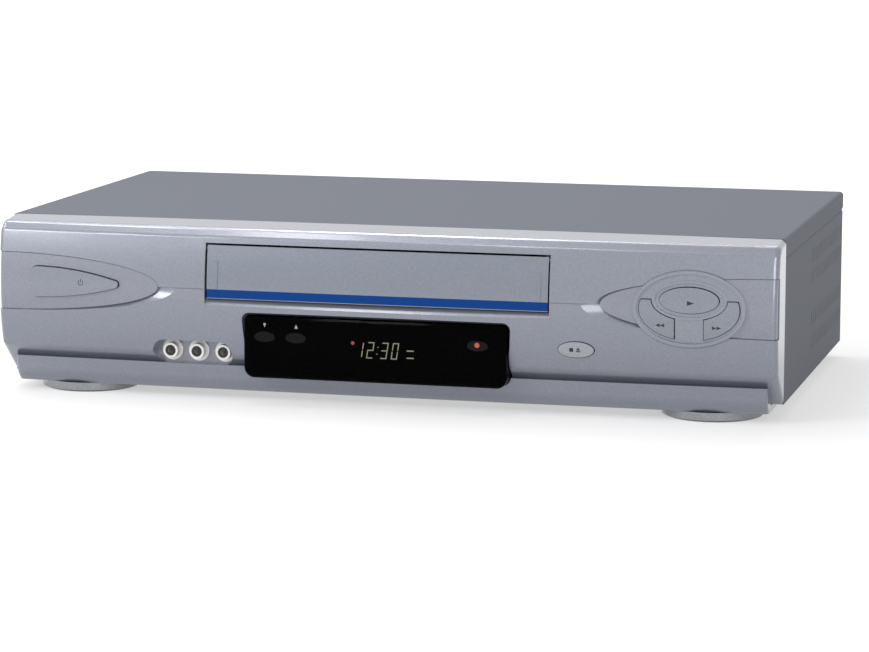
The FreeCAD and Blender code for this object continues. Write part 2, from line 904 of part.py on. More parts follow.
def jack_bay_outline(sketch, grow="0"):
    """The oblong bay round the front jacks, with fully rounded ends."""
    straight = "(jack_bay_half_width - jack_bay_half_height)"
    radius = f"(jack_bay_half_height + ({grow}))"
    low = f"{down('jack_bay_drop')} - {radius}"
    high = f"{down('jack_bay_drop')} + {radius}"
    left = f"jack_bay_centre - {straight}"
    right = f"jack_bay_centre + {straight}"
    outline(sketch, [
        (left, low),
        (right, low),
        (f"{right} + {radius}", down("jack_bay_drop"), radius, 1),
        (right, high, radius, 1),
        (left, high),
        (f"{left} - {radius}", down("jack_bay_drop"), radius, 1),
    ], closing=(radius, 1))

# Base pan: a shallow steel tray with stand-offs for the board and the tape deck
PAN_LOW = "underside_height"
PAN_TOP = "(underside_height + sheet_steel)"
PAN_HALF = "(cover_width / 2 - sheet_steel - side_clearance)"
PAN_FRONT = f"({SEAM} + pan_set_back)"
PANEL_BACK = f"({REAR} - sheet_steel - side_clearance)"
PANEL_FRONT = f"({PANEL_BACK} - rear_panel_thickness)"
BOARD_LOW = f"({PAN_TOP} + board_standoff)"
BOARD_TOP = f"({BOARD_LOW} + board_thickness)"
DECK_TOP = "deck_top"

pan = new_body("base_pan")
sketch = ground(pan, PAN_LOW)
rectangle(sketch, f"-{PAN_HALF}", PAN_HALF, PAN_FRONT, PANEL_BACK)
pad(pan, sketch, "tray_height")
sketch = ground(pan, f"{PAN_LOW} + tray_height")
rectangle(sketch, f"-({PAN_HALF} - sheet_steel)", f"{PAN_HALF} - sheet_steel",
          f"{PAN_FRONT} + sheet_steel", f"{PANEL_BACK} + 1")
pocket(pan, sketch, "tray_height - sheet_steel")
sketch = ground(pan, f"{PAN_LOW} + tray_height")
rectangle(sketch, f"-({PAN_HALF} - pan_front_end)", f"{PAN_HALF} - pan_front_end",
          f"{PAN_FRONT} - 1", f"{PAN_FRONT} + sheet_steel + 1")
pocket(pan, sketch, "tray_height - sheet_steel - board_standoff")
sketch = ground(pan, f"{PAN_LOW} + sheet_steel / 2")
for hand in (-1, 1):
    for place_y in ("board_front + board_hole_inset", "board_hole_rear"):
        circle(sketch, f"{hand} * (board_half_width - board_hole_inset - 1)", place_y, "board_boss_radius")
pad(pan, sketch, "sheet_steel / 2 + board_standoff")
sketch = ground(pan, f"{PAN_LOW} + sheet_steel / 2")
for hand in (-1, 1):
    for place_y in ("deck_front + deck_hole_inset", "deck_rear - deck_hole_inset"):
        circle(sketch, f"{hand} * (deck_half_width - deck_hole_inset + 2)", place_y, "deck_post_radius")
pad(pan, sketch, f"deck_height - {PAN_LOW} - sheet_steel / 2")
sketch = ground(pan, PAN_TOP)
for row in range(2):
    rectangle(sketch, "-vent_row_start", "-vent_row_start + vent_width",
              f"vent_front + {row} * vent_row_pitch", f"vent_front + vent_length + {row} * vent_row_pitch")
slots = pocket(pan, sketch, "sheet_steel * 2")
repeat(pan, slots, "X_Axis", "2 * vent_row_start - vent_width", "vent_count")
keep(pan, "base_pan")

# Top cover: one bent sheet, creased along both sides, with four rows of slots in each side
def cover_outline(sketch, inset, foot):
    """Half-open U section of the cover, moved inwards by inset."""
    half = f"(cover_width / 2 - ({inset}))"
    roof = f"(overall_height - ({inset}))"
    bend = f"(cover_bend - ({inset}))"
    edge = []
    for hand in (1, -1):
        run = [(f"{hand} * {half}", foot)]
        run += [(f"{hand} * ({half} - {dip} * crease_depth)", f"{down('crease_drop')} + {rise} * crease_half_height")
                for dip, rise in ((0, -1), (1, 0), (0, 1))]
        run += [(f"{hand} * {half}", f"{roof} - {bend}")]
        run += [(f"{hand} * ({half} - {bend})", roof)]
        edge += run if hand == 1 else run[::-1]
    edge[5] = edge[5] + (bend, 1)
    edge[7] = edge[7] + (bend, 1)
    outline(sketch, edge)


cover = new_body("top_cover")
sketch = front(cover, REAR)
cover_outline(sketch, "0", "underside_height")
pad(cover, sketch, "cover_depth - seam_gap")
sketch = front(cover, f"{REAR} - seam_gap - cover_depth - 1")
cover_outline(sketch, "sheet_steel", "underside_height - 2")
pocket(cover, sketch, "cover_depth + 1 + seam_gap - sheet_steel")
sketch = front(cover, f"{REAR} - sheet_steel - 1")
rectangle(sketch, "-cover_width / 2 - 1", "cover_width / 2 + 1", "underside_height - 1", down("flange_drop"))
pocket(cover, sketch, "sheet_steel * 2")
sketch = front(cover, f"{REAR} - sheet_steel - 1")
for column_x in ("-screw_spread", "0", "screw_spread"):
    circle(sketch, column_x, down("screw_drop"), "screw_radius + fit_gap")
pocket(cover, sketch, "sheet_steel * 2 + 1")
sketch = side(cover)
for row_drop in ("louvre_row_1", "louvre_row_2", "louvre_row_3", "louvre_row_4"):
    start = f"{SEAM} + louvre_start"
    rectangle(sketch, start, f"{start} + louvre_width", f"{down(row_drop)} - louvre_height", down(row_drop))
slots = pocket(cover, sketch, "cover_width + 2", both=True)
repeat(cover, slots, "Y_Axis", "louvre_pitch * (louvre_count - 1)", "louvre_count")
keep(cover, "top_cover")

# Rear panel with the windows for its connectors
panel = new_body("rear_panel")
sketch = front(panel, PANEL_BACK)
rectangle(sketch, f"-({PAN_HALF} - sheet_steel - rear_panel_gap)", f"{PAN_HALF} - sheet_steel - rear_panel_gap",
          PAN_TOP, "overall_height - sheet_steel - rear_panel_gap")
for row in range(2):
    circle(sketch, "tuner_place", f"aerial_height + {row} * aerial_pitch", "aerial_radius + fit_gap")
rectangle(sketch, "jack_block_left - fit_gap", "jack_block_right + fit_gap",
          "jack_block_low - fit_gap", "jack_block_top + fit_gap")
circle(sketch, "cord_place", "cord_height", "bush_radius + fit_gap")
for column_x in ("-screw_spread", "0", "screw_spread"):
    circle(sketch, column_x, down("screw_drop"), "screw_radius + running_gap")
pad(panel, sketch, "rear_panel_thickness")
sketch = front(panel, f"{PANEL_FRONT} - 1")
rectangle(sketch, "rear_vent_left", "rear_vent_left + vent_width",
          "rear_vent_low", "rear_vent_low + rear_vent_height")
slots = pocket(panel, sketch, "rear_panel_thickness + 2")
repeat(panel, slots, "X_Axis", "vent_pitch * (rear_vent_count - 1)", "rear_vent_count")
keep(panel, "rear_panel")

# Cover screws through the flange into the rear panel
screws = new_body("cover_screws")
sketch = front(screws, REAR)
for column_x in ("-screw_spread", "0", "screw_spread"):
    circle(sketch, column_x, down("screw_drop"), "screw_radius")
pad(screws, sketch, f"{REAR} - {PANEL_FRONT} + 1.5")
sketch = front(screws, f"{REAR} + screw_head_height")
for column_x in ("-screw_spread", "0", "screw_spread"):
    circle(sketch, column_x, down("screw_drop"), "screw_head_radius")
pad(screws, sketch, "screw_head_height")
keep(screws, "cover_screws")

# Feet: two wide ones in front, with necks up to the pan, and two small ones at the rear
feet = []
for hand in (-1, 1):
    wide = turned("front_foot", [
        ("0", "0"), ("foot_radius - foot_edge", "0"), ("foot_radius", "foot_edge"),
        ("foot_radius", "foot_height"), ("foot_neck_radius", "foot_height"),
        ("foot_neck_radius", "underside_height"), ("0", "underside_height")])
    feet.append(place(wide, f"{hand} * foot_place", f"{SEAM} + foot_set_back"))
    small = turned("rear_foot", [
        ("0", "0"), ("rear_foot_radius - foot_edge", "0"), ("rear_foot_radius", "foot_edge"),
        ("rear_foot_radius - 1", "underside_height"), ("0", "underside_height")])
    feet.append(place(small, f"{hand} * (cover_width / 2 - rear_foot_inset)", f"{REAR} - rear_foot_inset"))
keep(group(*feet), "feet")

# Bright arcs round the fronts of the two wide feet
trims = []
for hand in (-1, 1):
    trim = new_body("foot_trim")
    sketch = side(trim)
    rectangle(sketch, "-foot_trim_radius", "-(foot_radius + seat_gap)", "foot_trim_lift", "foot_height")
    turn(trim, "Revolution", sketch, "foot_trim_sweep", both=True)
    trims.append(place(trim, f"{hand} * foot_place", f"{SEAM} + foot_set_back"))
keep(group(*trims), "foot_trims")

# Front panel: a bowed moulding turned about the distant bow axis, with rounded corners at both ends
blank = bowed_body("panel_blank", [
    ("-6", "0"), ("1", "0"), ("brow_reach", "brow_slope_drop"), ("shoulder_reach", "shoulder_drop"),
    (face_at("brow_drop"), "brow_drop"),
    ("face_reach", "face_full_drop", "upper_radius", 1),
    (face_at("face_foot_drop"), "face_foot_drop", "lower_radius", 1),
    ("undercut_reach", "undercut_drop"), ("-6", "undercut_drop")],
    "cover_width / 2", "panel_corner", lambda box: box.YMin < value(ahead("undercut_reach")))

hollow = new_body("panel_hollow")
sketch = side(hollow, "0", BOW_AXIS)
outline(sketch, bowed([
    ("-9", "panel_wall"), ("0", "panel_wall"), ("brow_reach - 1", "brow_slope_drop + panel_wall"),
    (face_at("brow_drop + 2", "-panel_wall"), "brow_drop + 2"),
    ("face_reach - panel_wall", "face_full_drop", "upper_radius - panel_wall", 1),
    (face_at("face_foot_drop - 2", "-panel_wall"), "face_foot_drop - 2", "lower_radius - panel_wall", 1),
    ("undercut_reach - 0.4 * panel_wall", "undercut_drop - panel_wall"),
    ("-9", "undercut_drop - panel_wall"),
]))
turn(hollow, "Revolution", sketch, BOW_SWEEP, both=True)
inside = common(hollow, block("panel_inside", "-(cover_width / 2 - panel_wall)", "cover_width / 2 - panel_wall",
                              ahead("32"), SEAM, "0", "overall_height"))

# Chin: the lower lip in front of the undercut, with cheeks running back beside the feet
chin = bowed_body("chin", [
    ("chin_reach - 3", "chin_top_drop"), ("chin_reach", "chin_top_drop"), ("chin_reach - 1", "chin_bend_drop"),
    ("chin_foot_reach", "chin_drop", "chin_radius", 1), ("1", "chin_drop"),
    ("1", "chin_drop - chin_floor"), ("undercut_reach + 0.5", "chin_drop - chin_floor"),
    ("undercut_reach + 0.5", "undercut_drop - 1")],
    "chin_half_width", "chin_corner", lambda box: box.ZLength > 1 and box.YMax < value(ahead("undercut_reach + 3")))
cheeks = []
for hand in (-1, 1):
    outer, inner = f"{hand} * chin_half_width", f"{hand} * (chin_half_width - cheek_width)"
    cheeks.append(block("cheek", inner, outer, ahead("3"), f"{SEAM} + cheek_length",
                        down("chin_drop"), f"underside_height - fit_gap"))

# Cassette tunnel behind the opening, and the bay of the front jacks
def tunnel_outline(sketch, grow="0"):
    rectangle(sketch, f"-(slot_half_width + ({grow}))", f"slot_half_width + ({grow})",
              down(f"slot_sill_drop + ({grow})"), down(f"slot_top_drop - ({grow})"))


tunnel = column("tunnel", lambda sketch: tunnel_outline(sketch, "tunnel_wall"), "tunnel_back", "34")
bay = column("jack_bay", lambda sketch: jack_bay_outline(sketch, "bay_wall"), "jack_bay_floor - bay_wall", "34")
moulding = join(cut(join(blank, chin), inside), *cheeks,
                common(join(tunnel, bay), join(blank, chin)))

# Seats of the half-ellipse inlays and their bevelled scoops
def inlay_place(hand):
    return f"{hand} * inlay_centre"


def swept_bevel(name, hand, reaches, sizes):
    """A loft between two upright ellipses, for the bevels round an inlay."""
    body = new_body(name)
    sketches = []
    for reach, (half_length, half_height) in zip(reaches, sizes):
        sketch = front(body, ahead(reach))
        oval(sketch, inlay_place(hand), down("inlay_drop"), half_length, half_height)
        sketches.append(sketch)
    loft = body.newObject("PartDesign::AdditiveLoft", name + "_loft")
    loft.Profile = sketches[0]
    loft.Sections = sketches[1:]
    doc.recompute()
    return body


seats, scoops, lids = [], [], []
for hand in (-1, 1):
    ellipse = oval_column("inlay_seat", inlay_place(hand), "inlay_drop", "inlay_half_length", "inlay_half_height",
                          reach_back="inlay_end_reach")
    seats.append(cut(ellipse, skin("seat_floor", "inlay_set_back + inlay_thickness")))
    lower = swept_bevel("scoop", hand, ("scoop_reach", "scoop_reach + scoop_depth"),
                        (("inlay_half_length", "inlay_half_height"), ("scoop_half_length", "scoop_half_height")))
    below = block("below_inlay", "-cover_width", "cover_width", ahead("40"), SEAM,
                  "0", down("inlay_drop + 0.2"))
    scoops.append(common(lower, below))
    upper = swept_bevel("lid", hand, ("lid_reach", "lid_reach + lid_depth"),
                        (("inlay_half_length", "inlay_half_height"), ("lid_half_length", "lid_half_height")))
    above = block("above_inlay", "-cover_width", "cover_width", ahead("40"), SEAM,
                  down("inlay_drop + 0.2"), "overall_height + 10")
    lids.append(common(upper, above))

# Power button outline: rounded at the left, running to a point like the bow of a ship at the right
def power_outline(sketch, grow="0"):
    half = f"(power_half_height + ({grow}))"
    left = f"(-power_left - ({grow}))"
    corner = f"(power_corner + ({grow}))"
    level = down("power_drop")
    nose = f"(power_nose_radius + ({grow}))"
    tip = "(-power_right - power_nose_radius)"
    start = f"({left} + {corner})"
    reach = f"({tip} + {nose} * 0.35 - {start})"
    rise = f"({half} - {nose} * 0.9367)"
    curve = f"(({reach} * {reach} + {rise} * {rise}) / (2 * {rise}))"
    outline(sketch, [
        (left, f"{level} - {half} + {corner}"),
        (start, f"{level} - {half}", corner, 1),
        (f"{start} + {reach}", f"{level} - {half} + {rise}", curve, 1),
        (f"{start} + {reach}", f"{level} + {half} - {rise}", nose, 1),
        (start, f"{level} + {half}", curve, 1),
        (left, f"{level} + {half} - {corner}", corner, 1),
    ])


def side_key(name, hand, grow="0"):
    """Rewind or fast-forward key: the part of an ellipse left outside the play key's surround."""
    body = new_body(name)
    sketch = front(body, ahead("8"))
    oval(sketch, "ring_centre", down("ring_drop"),
         f"key_outer_half_width + ({grow})", f"key_outer_half_height + ({grow})")
    pad(body, sketch, "28")
    sketch = front(body, ahead("38"))
    oval(sketch, "ring_centre", down("play_drop"),
         f"key_inner_half_width - ({grow})", f"key_inner_half_height - ({grow})")
    pocket(body, sketch, "32")
    sketch = front(body, ahead("38"))
    edge = f"ring_centre + {hand} * (key_inner_edge - ({grow}))"
    far = f"ring_centre + {hand} * (ring_half_width + 4)"
    near = f"ring_centre - {hand} * (ring_half_width + 4)"
    roof = down(f"key_top_drop - ({grow})")
    outline(sketch, [(near, "0"), (edge, "0"), (edge, roof), (far, roof), (far, "overall_height + 9"),
                     (near, "overall_height + 9")])
    pocket(body, sketch, "32")
    return body


def play_column(grow="0"):
    return oval_column("play_prism", "ring_centre", "play_drop", "play_half_width", "play_half_height", grow)


def stop_column(grow="0"):
    return oval_column("stop_prism", "stop_place", "stop_drop", "stop_half_width", "stop_half_height", grow)


def power_column(grow="0"):
    return column("power_prism", lambda sketch: power_outline(sketch, grow))


def ring_column(grow="0"):
    return oval_column("ring_prism", "ring_centre", "ring_drop", "ring_half_width", "ring_half_height", grow)


def key_openings():
    return [play_column("key_gap"), side_key("rewind_hole", -1, "key_gap"), side_key("forward_hole", 1, "key_gap")]


ring_seat = on_face("4", "4 + ring_thickness - ring_proud + seat_gap", ring_column("ring_gap"))

# Window opening with its bevel, the sill of the cassette opening and the fine split line
opening = column("window_opening", lambda sketch: window_outline(sketch, "window_gap"), "2", "34")
bevel = new_body("window_bevel")
bevel_sketches = []
for step in (-1, 1):
    sketch = front(bevel, ahead(f"face_reach + {step} * bezel_depth"))
    window_outline(sketch, f"window_gap + {step + 1} * bezel_width")
    bevel_sketches.append(sketch)
loft = bevel.newObject("PartDesign::AdditiveLoft", "window_bevel_loft")
loft.Profile = bevel_sketches[0]
loft.Sections = bevel_sketches[1:]
doc.recompute()
sill = new_body("sill_cut")
sketch = side(sill)
outline(sketch, [
    (ahead("face_reach - sill_height - 0.2"), down("slot_sill_drop - 0.2")),
    (ahead("face_reach + 4"), down("slot_sill_drop + sill_height + 4")),
    (ahead("face_reach + 4"), down("slot_sill_drop - 0.2"))])
pad(sill, sketch, "2 * slot_half_width", both=True)
split = column("split_line", lambda sketch: [rectangle(
    sketch, *ends, f"{down('inlay_drop')} - split_width", down("inlay_drop"))
    for ends in (("-(inlay_centre - inlay_half_length + 0.5)", "-slot_half_width"),
                 ("slot_half_width", "inlay_centre - inlay_half_length + 0.5"))])

# Openings drawn straight through the panel
slot = column("cassette_opening", tunnel_outline, "0", "34")
bay_space = column("bay_space", jack_bay_outline, "jack_bay_floor", "34")
barrel_holes = column("barrel_holes", lambda sketch: [
    circle(sketch, f"jack_first + {number} * jack_pitch", down("jack_drop"), "jack_radius + fit_gap")
    for number in range(int(value("jack_count")))], "2", "20")
hinge_hole = new_body("hinge_hole")
sketch = side(hinge_hole)
circle(sketch, ahead("door_axis_reach"), down("door_axis_drop"), "door_pin_radius + running_gap")
pad(hinge_hole, sketch, "2 * (slot_half_width + tunnel_wall + 1)", both=True)
through = group(slot, bay_space, opening, power_column("key_gap"), stop_column("key_gap"), *key_openings())
shallow = group(barrel_holes, bevel, sill, hinge_hole, ring_seat, on_face("2", "2 + split_depth", split))
fascia = cut(moulding, through, shallow, group(*seats), group(*scoops), group(*lids))
keep(fascia, "front_panel")

# Inlays and the transport ring
def inlay(hand, *holes):
    plate = oval_column("inlay_plate", inlay_place(hand), "inlay_drop", "inlay_half_length", "inlay_half_height",
                        "-inlay_gap", "inlay_end_reach + inlay_gap")
    shell = cut(skin("inlay_face", "inlay_set_back"), skin("inlay_back", "inlay_set_back + inlay_thickness - seat_gap"))
    return cut(common(shell, plate), *holes)


keep(inlay(-1, power_column("key_gap")), "power_inlay")
keep(inlay(1, group(*key_openings())), "control_inlay")

ring_floor = on_face("ring_proud - rim_height", "ring_thickness - rim_height", ring_column())
rim = cut(ring_column(), ring_column("-ring_rim"))
ridge = cut(oval_column("ridge", "ring_centre", "play_drop", "ridge_half_width", "ridge_half_height"),
            oval_column("ridge_inside", "ring_centre", "play_drop", "ridge_half_width", "ridge_half_height",
                        "-ridge_width"))
raised = on_face("ring_proud", "ring_thickness - 0.2", common(join(rim, ridge), ring_column()))
keep(cut(join(ring_floor, raised), *key_openings()), "control_ring")

# Keys: a cap that follows the face, a flange behind the wall and a stem towards its switch
FLANGE = ("-(panel_wall + fit_gap)", "flange_thickness")


def stem(name, x, drop, front_reach):
    return block(name, f"{x} - stem_width / 2", f"{x} + stem_width / 2", ahead(front_reach),
                 ahead("switch_reach + key_travel + switch_gap"),
                 f"{down(drop)} - stem_width / 2", f"{down(drop)} + stem_width / 2")


def face_key(label, proud, cap, flange, stem_x, stem_drop):
    cap_solid = on_face(proud, f"{proud} + panel_wall + fit_gap + 0.3", cap)
    flange_solid = on_face(*FLANGE, flange)
    keep(join(cap_solid, flange_solid, stem(label + "_stem", stem_x, stem_drop, "stem_front")), label)


face_key("power_button", "power_proud", power_column(), power_column("flange_width"),
         "power_stem_place", "power_drop")
face_key("rewind_button", "key_proud", side_key("rewind_cap", -1), side_key("rewind_flange", -1, "flange_width"),
         "ring_centre - side_stem_place", "side_stem_drop")
face_key("fast_forward_button", "key_proud", side_key("forward_cap", 1),
         side_key("forward_flange", 1, "flange_width"), "ring_centre + side_stem_place", "side_stem_drop")
face_key("play_button", "play_proud", play_column(), play_column("flange_width"), "ring_centre", "play_drop")
face_key("stop_eject_button", "key_proud", stop_column(), stop_column("flange_width"), "stop_place", "stop_drop")

# Display window: a smoked box lens, open at the back, with three small keys through it
WINDOW_KEYS = (("channel_down_button", "channel_down_place"), ("channel_up_button", "channel_up_place"),
               ("record_button", "record_place"))
lens = new_body("display_window")
sketch = front(lens, ahead("lens_reach - lens_depth"))
window_outline(sketch)
pad(lens, sketch, "lens_depth")
soften(lens, "Chamfer", "lens_edge", lambda edge: abs(edge.BoundBox.YMax - value(ahead("lens_reach"))) < 1e-4
       and abs(edge.BoundBox.YMin - value(ahead("lens_reach"))) < 1e-4)
sketch = front(lens, ahead("lens_reach - lens_wall"))
window_outline(sketch, "-lens_wall")
pocket(lens, sketch, "lens_depth")
sketch = front(lens, ahead("lens_reach + 1"))
for label, key_x in WINDOW_KEYS:
    oval(sketch, key_x, down("window_key_drop"),
         "window_key_half_width + fit_gap", "window_key_half_height + fit_gap")
pocket(lens, sketch, "lens_wall + 2")
keep(lens, "display_window")

for label, key_x in WINDOW_KEYS:
    key = new_body(label)
    sketch = front(key, ahead("lens_reach - lens_wall - fit_gap - 0.4"))
    oval(sketch, key_x, down("window_key_drop"), "window_key_half_width", "window_key_half_height")
    pad(key, sketch, "lens_wall + fit_gap + window_key_proud + 0.4")
    sketch = front(key, ahead("lens_reach - lens_wall - fit_gap - flange_thickness"))
    oval(sketch, key_x, down("window_key_drop"),
         "window_key_half_width + flange_width", "window_key_half_height + flange_width")
    pad(key, sketch, "flange_thickness")
    sketch = front(key, ahead("switch_reach + key_travel + switch_gap"))
    rectangle(sketch, f"{key_x} - stem_width / 2", f"{key_x} + stem_width / 2",
              f"{down('window_key_drop')} - stem_width / 2", f"{down('window_key_drop')} + stem_width / 2")
    pad(key, sketch, "lens_reach - lens_wall - fit_gap - flange_thickness / 2 - switch_reach - key_travel - switch_gap")
    keep(key, label)

# Cassette door with end lugs, hinge pins, two ribs and its inlaid stripe
def door_column(name, left, right, top, foot):
    return column(name, lambda sketch: rectangle(sketch, left, right, down(foot), down(top)))


DOOR_HALF = "(slot_half_width - door_gap)"
DOOR_TOP = "slot_top_drop + door_gap + 0.2"
DOOR_FOOT = "slot_sill_drop - door_gap + 0.3"
flap = on_face("-door_set_back", "door_wall", door_column("flap", f"-{DOOR_HALF}", DOOR_HALF, DOOR_TOP, DOOR_FOOT))
ribs = []
for hand in (-1, 1):
    rib_x = f"{hand} * door_rib_place"
    ribs.append(on_face("door_rib_height - door_set_back", "door_rib_height + 0.2", door_column(
        "rib", f"{rib_x} - door_rib_width / 2", f"{rib_x} + door_rib_width / 2",
        "door_rib_top", "door_rib_top + door_rib_length")))
lugs = []
for hand in (-1, 1):
    lug = new_body("door_lug")
    sketch = side(lug, f"{hand} * ({DOOR_HALF} - door_lug_width)")
    circle(sketch, ahead("door_axis_reach"), down("door_axis_drop"), "door_lug_radius")
    pad(lug, sketch, "door_lug_width", back=(hand == -1))
    sketch = side(lug, f"{hand} * ({DOOR_HALF} - 0.5)")
    circle(sketch, ahead("door_axis_reach"), down("door_axis_drop"), "door_pin_radius")
    pad(lug, sketch, "door_gap + 0.5 + door_pin_length", back=(hand == -1))
    lugs.append(lug)
stripe_band = door_column("stripe", f"-({DOOR_HALF} + 1)", f"{DOOR_HALF} + 1",
                          "stripe_top_drop", "stripe_top_drop + stripe_height")
stripe_seat = on_face("2", "2 + door_set_back + stripe_depth", stripe_band)
keep(cut(join(flap, *ribs, *lugs), stripe_seat), "cassette_door")
stripe_print = door_column("stripe_print", f"-{DOOR_HALF}", DOOR_HALF,
                           "stripe_top_drop", "stripe_top_drop + stripe_height")
keep(on_face("-door_set_back", "stripe_depth", stripe_print), "door_stripe")

# Upright front board, cut out under the cassette tunnel, with a switch behind each key
board = new_body("front_board")
sketch = front(board, ahead("board_reach"))
outline(sketch, [
    ("-board_half_width", "front_board_low"), ("board_half_width", "front_board_low"),
    ("board_half_width", "front_board_top"), ("front_board_notch", "front_board_top"),
    ("front_board_notch", "front_board_waist"), ("-front_board_notch", "front_board_waist"),
    ("-front_board_notch", "front_board_top"), ("-board_half_width", "front_board_top")])
pad(board, sketch, "board_thickness")
keep(board, "front_board")

SWITCHES = (
    ("power_stem_place", "power_drop"), ("ring_centre - side_stem_place", "side_stem_drop"),
    ("ring_centre", "play_drop"), ("ring_centre + side_stem_place", "side_stem_drop"),
    ("stop_place", "stop_drop"), ("channel_down_place", "window_key_drop"),
    ("channel_up_place", "window_key_drop"), ("record_place", "window_key_drop"))
switches = new_body("tact_switches")
sketch = front(switches, ahead("board_reach + board_thickness"))
for x, drop in SWITCHES:
    rectangle(sketch, f"{x} - switch_width / 2", f"{x} + switch_width / 2",
              f"{down(drop)} - switch_width / 2", f"{down(drop)} + switch_width / 2")
pad(switches, sketch, "switch_reach - board_reach - board_thickness")
keep(switches, "tact_switches")

# Fluorescent display: a glass envelope on a holder that stands off the front board
display = new_body("fluorescent_display")
sketch = front(display, ahead("display_back_reach"))
rectangle(sketch, "-display_half_width", "display_half_width", down("display_foot_drop"), down("display_top_drop"))
pad(display, sketch, "display_glass")
sketch = front(display, ahead("board_reach + board_thickness"))
rectangle(sketch, "-display_half_width + 4", "display_half_width - 4",
          f"{down('display_foot_drop')} + 3", f"{down('display_top_drop')} - 3")
pad(display, sketch, "display_back_reach - board_reach - board_thickness")
keep(display, "fluorescent_display")

# Front jacks: barrels through the bay floor, a collar each, on one shared body
jacks = new_body("front_jacks")
sketch = front(jacks, ahead("board_reach + board_thickness"))
rectangle(sketch, "jack_first - jack_body_side", "jack_first + jack_pitch * (jack_count - 1) + jack_body_side",
          f"{down('jack_drop')} - jack_body_side", f"{down('jack_drop')} + jack_body_side")
pad(jacks, sketch, "jack_bay_floor - bay_wall - fit_gap - board_reach - board_thickness")
for radius, start, end in (("jack_radius", "board_reach + board_thickness + 1", "jack_front"),
                           ("jack_collar_radius", "jack_bay_floor + seat_gap", "jack_bay_floor + jack_collar")):
    sketch = front(jacks, ahead(start))
    for number in range(int(value("jack_count"))):
        circle(sketch, f"jack_first + {number} * jack_pitch", down("jack_drop"), radius)
    pad(jacks, sketch, f"({end}) - ({start})")
sketch = front(jacks, ahead("jack_front + 1"))
for number in range(int(value("jack_count"))):
    circle(sketch, f"jack_first + {number} * jack_pitch", down("jack_drop"), "jack_bore / 2")
pocket(jacks, sketch, "jack_hole_depth + 1")
keep(jacks, "front_jacks")

# Main board, stepped round the transformer
main = new_body("main_board")
sketch = ground(main, BOARD_LOW)
outline(sketch, [
    ("-board_half_width", "board_front"), ("board_half_width", "board_front"),
    ("board_half_width", "board_rear"), ("-board_step_x", "board_rear"),
    ("-board_step_x", "board_step_y"), ("-board_half_width", "board_step_y")])
for hand in (-1, 1):
    for place_y in ("deck_front + deck_hole_inset", "deck_rear - deck_hole_inset"):
        circle(sketch, f"{hand} * (deck_half_width - deck_hole_inset + 2)", place_y, "deck_post_radius + 0.6")
pad(main, sketch, "board_thickness")
keep(main, "main_board")

# Power supply: transformer, two filter capacitors, finned heat sink and the bush of the cord
transformer = new_body("transformer")
for half_x, half_y, low, high in (("core_half_width", "core_half_depth", PAN_TOP, f"{PAN_TOP} + core_height"),
                                  ("coil_half_width", "coil_half_depth", f"{PAN_TOP} + core_leg",
                                   f"{PAN_TOP} + core_height - core_leg")):
    sketch = ground(transformer, low)
    rectangle(sketch, f"-{half_x}", half_x, f"-{half_y}", half_y)
    pad(transformer, sketch, f"({high}) - ({low})")
keep(place(transformer, "transformer_x", "transformer_y"), "transformer")

capacitors = new_body("filter_capacitors")
sketch = ground(capacitors, BOARD_TOP)
for number in range(2):
    circle(sketch, "capacitor_x", f"capacitor_y + {number} * capacitor_pitch", "capacitor_radius")
pad(capacitors, sketch, "capacitor_height")
keep(capacitors, "filter_capacitors")

sink = new_body("heat_sink")
sketch = ground(sink, BOARD_TOP)
rectangle(sketch, "sink_left", "sink_left + sink_width", "sink_y", "sink_y + fin_thickness")
pad(sink, sketch, "sink_height")
sketch = ground(sink, BOARD_TOP)
rectangle(sketch, "sink_left", "sink_left + fin_thickness", "sink_y + fin_thickness / 2", "sink_y + sink_depth")
fin = pad(sink, sketch, "sink_height")
repeat(sink, fin, "X_Axis", "sink_width - fin_thickness", "fin_count")
keep(sink, "heat_sink")

bush = new_body("cord_bush")
sketch = front(bush, f"{PANEL_BACK} + 2 * bush_lip")
circle(sketch, "0", "0", "bush_radius + bush_lip")
circle(sketch, "0", "0", "cord_bore")
pad(bush, sketch, "2 * bush_lip - seat_gap")
sketch = front(bush, f"{PANEL_BACK} + bush_lip")
circle(sketch, "0", "0", "bush_radius")
circle(sketch, "0", "0", "cord_bore")
pad(bush, sketch, "3 * bush_lip + rear_panel_thickness")
keep(place(bush, "cord_place", "0", "cord_height"), "cord_bush")

# Tuner can with its two aerial connectors, and the block of line jacks
tuner = block("tuner_module", "tuner_place - tuner_half_width", "tuner_place + tuner_half_width",
              "tuner_front", f"{PANEL_FRONT} - seat_gap", BOARD_TOP, f"{BOARD_TOP} + tuner_height")
keep(tuner, "tuner_module")
AERIAL_LENGTH = f"({REAR} + connector_reach - {PANEL_FRONT} + seat_gap)"
aerials = []
for row in range(2):
    aerial = new_body("aerial")
    sketch = front(aerial, f"{REAR} + connector_reach")
    circle(sketch, "0", "0", "aerial_radius")
    circle(sketch, "0", "0", "aerial_bore")
    pad(aerial, sketch, AERIAL_LENGTH)
    sketch = front(aerial, f"{PANEL_BACK} + seat_gap + aerial_nut")
    circle(sketch, "0", "0", "aerial_nut_radius")
    circle(sketch, "0", "0", "aerial_bore")
    pad(aerial, sketch, "aerial_nut")
    aerials.append(place(aerial, "tuner_place", "0", f"aerial_height + {row} * aerial_pitch"))
keep(group(*aerials), "antenna_connectors")

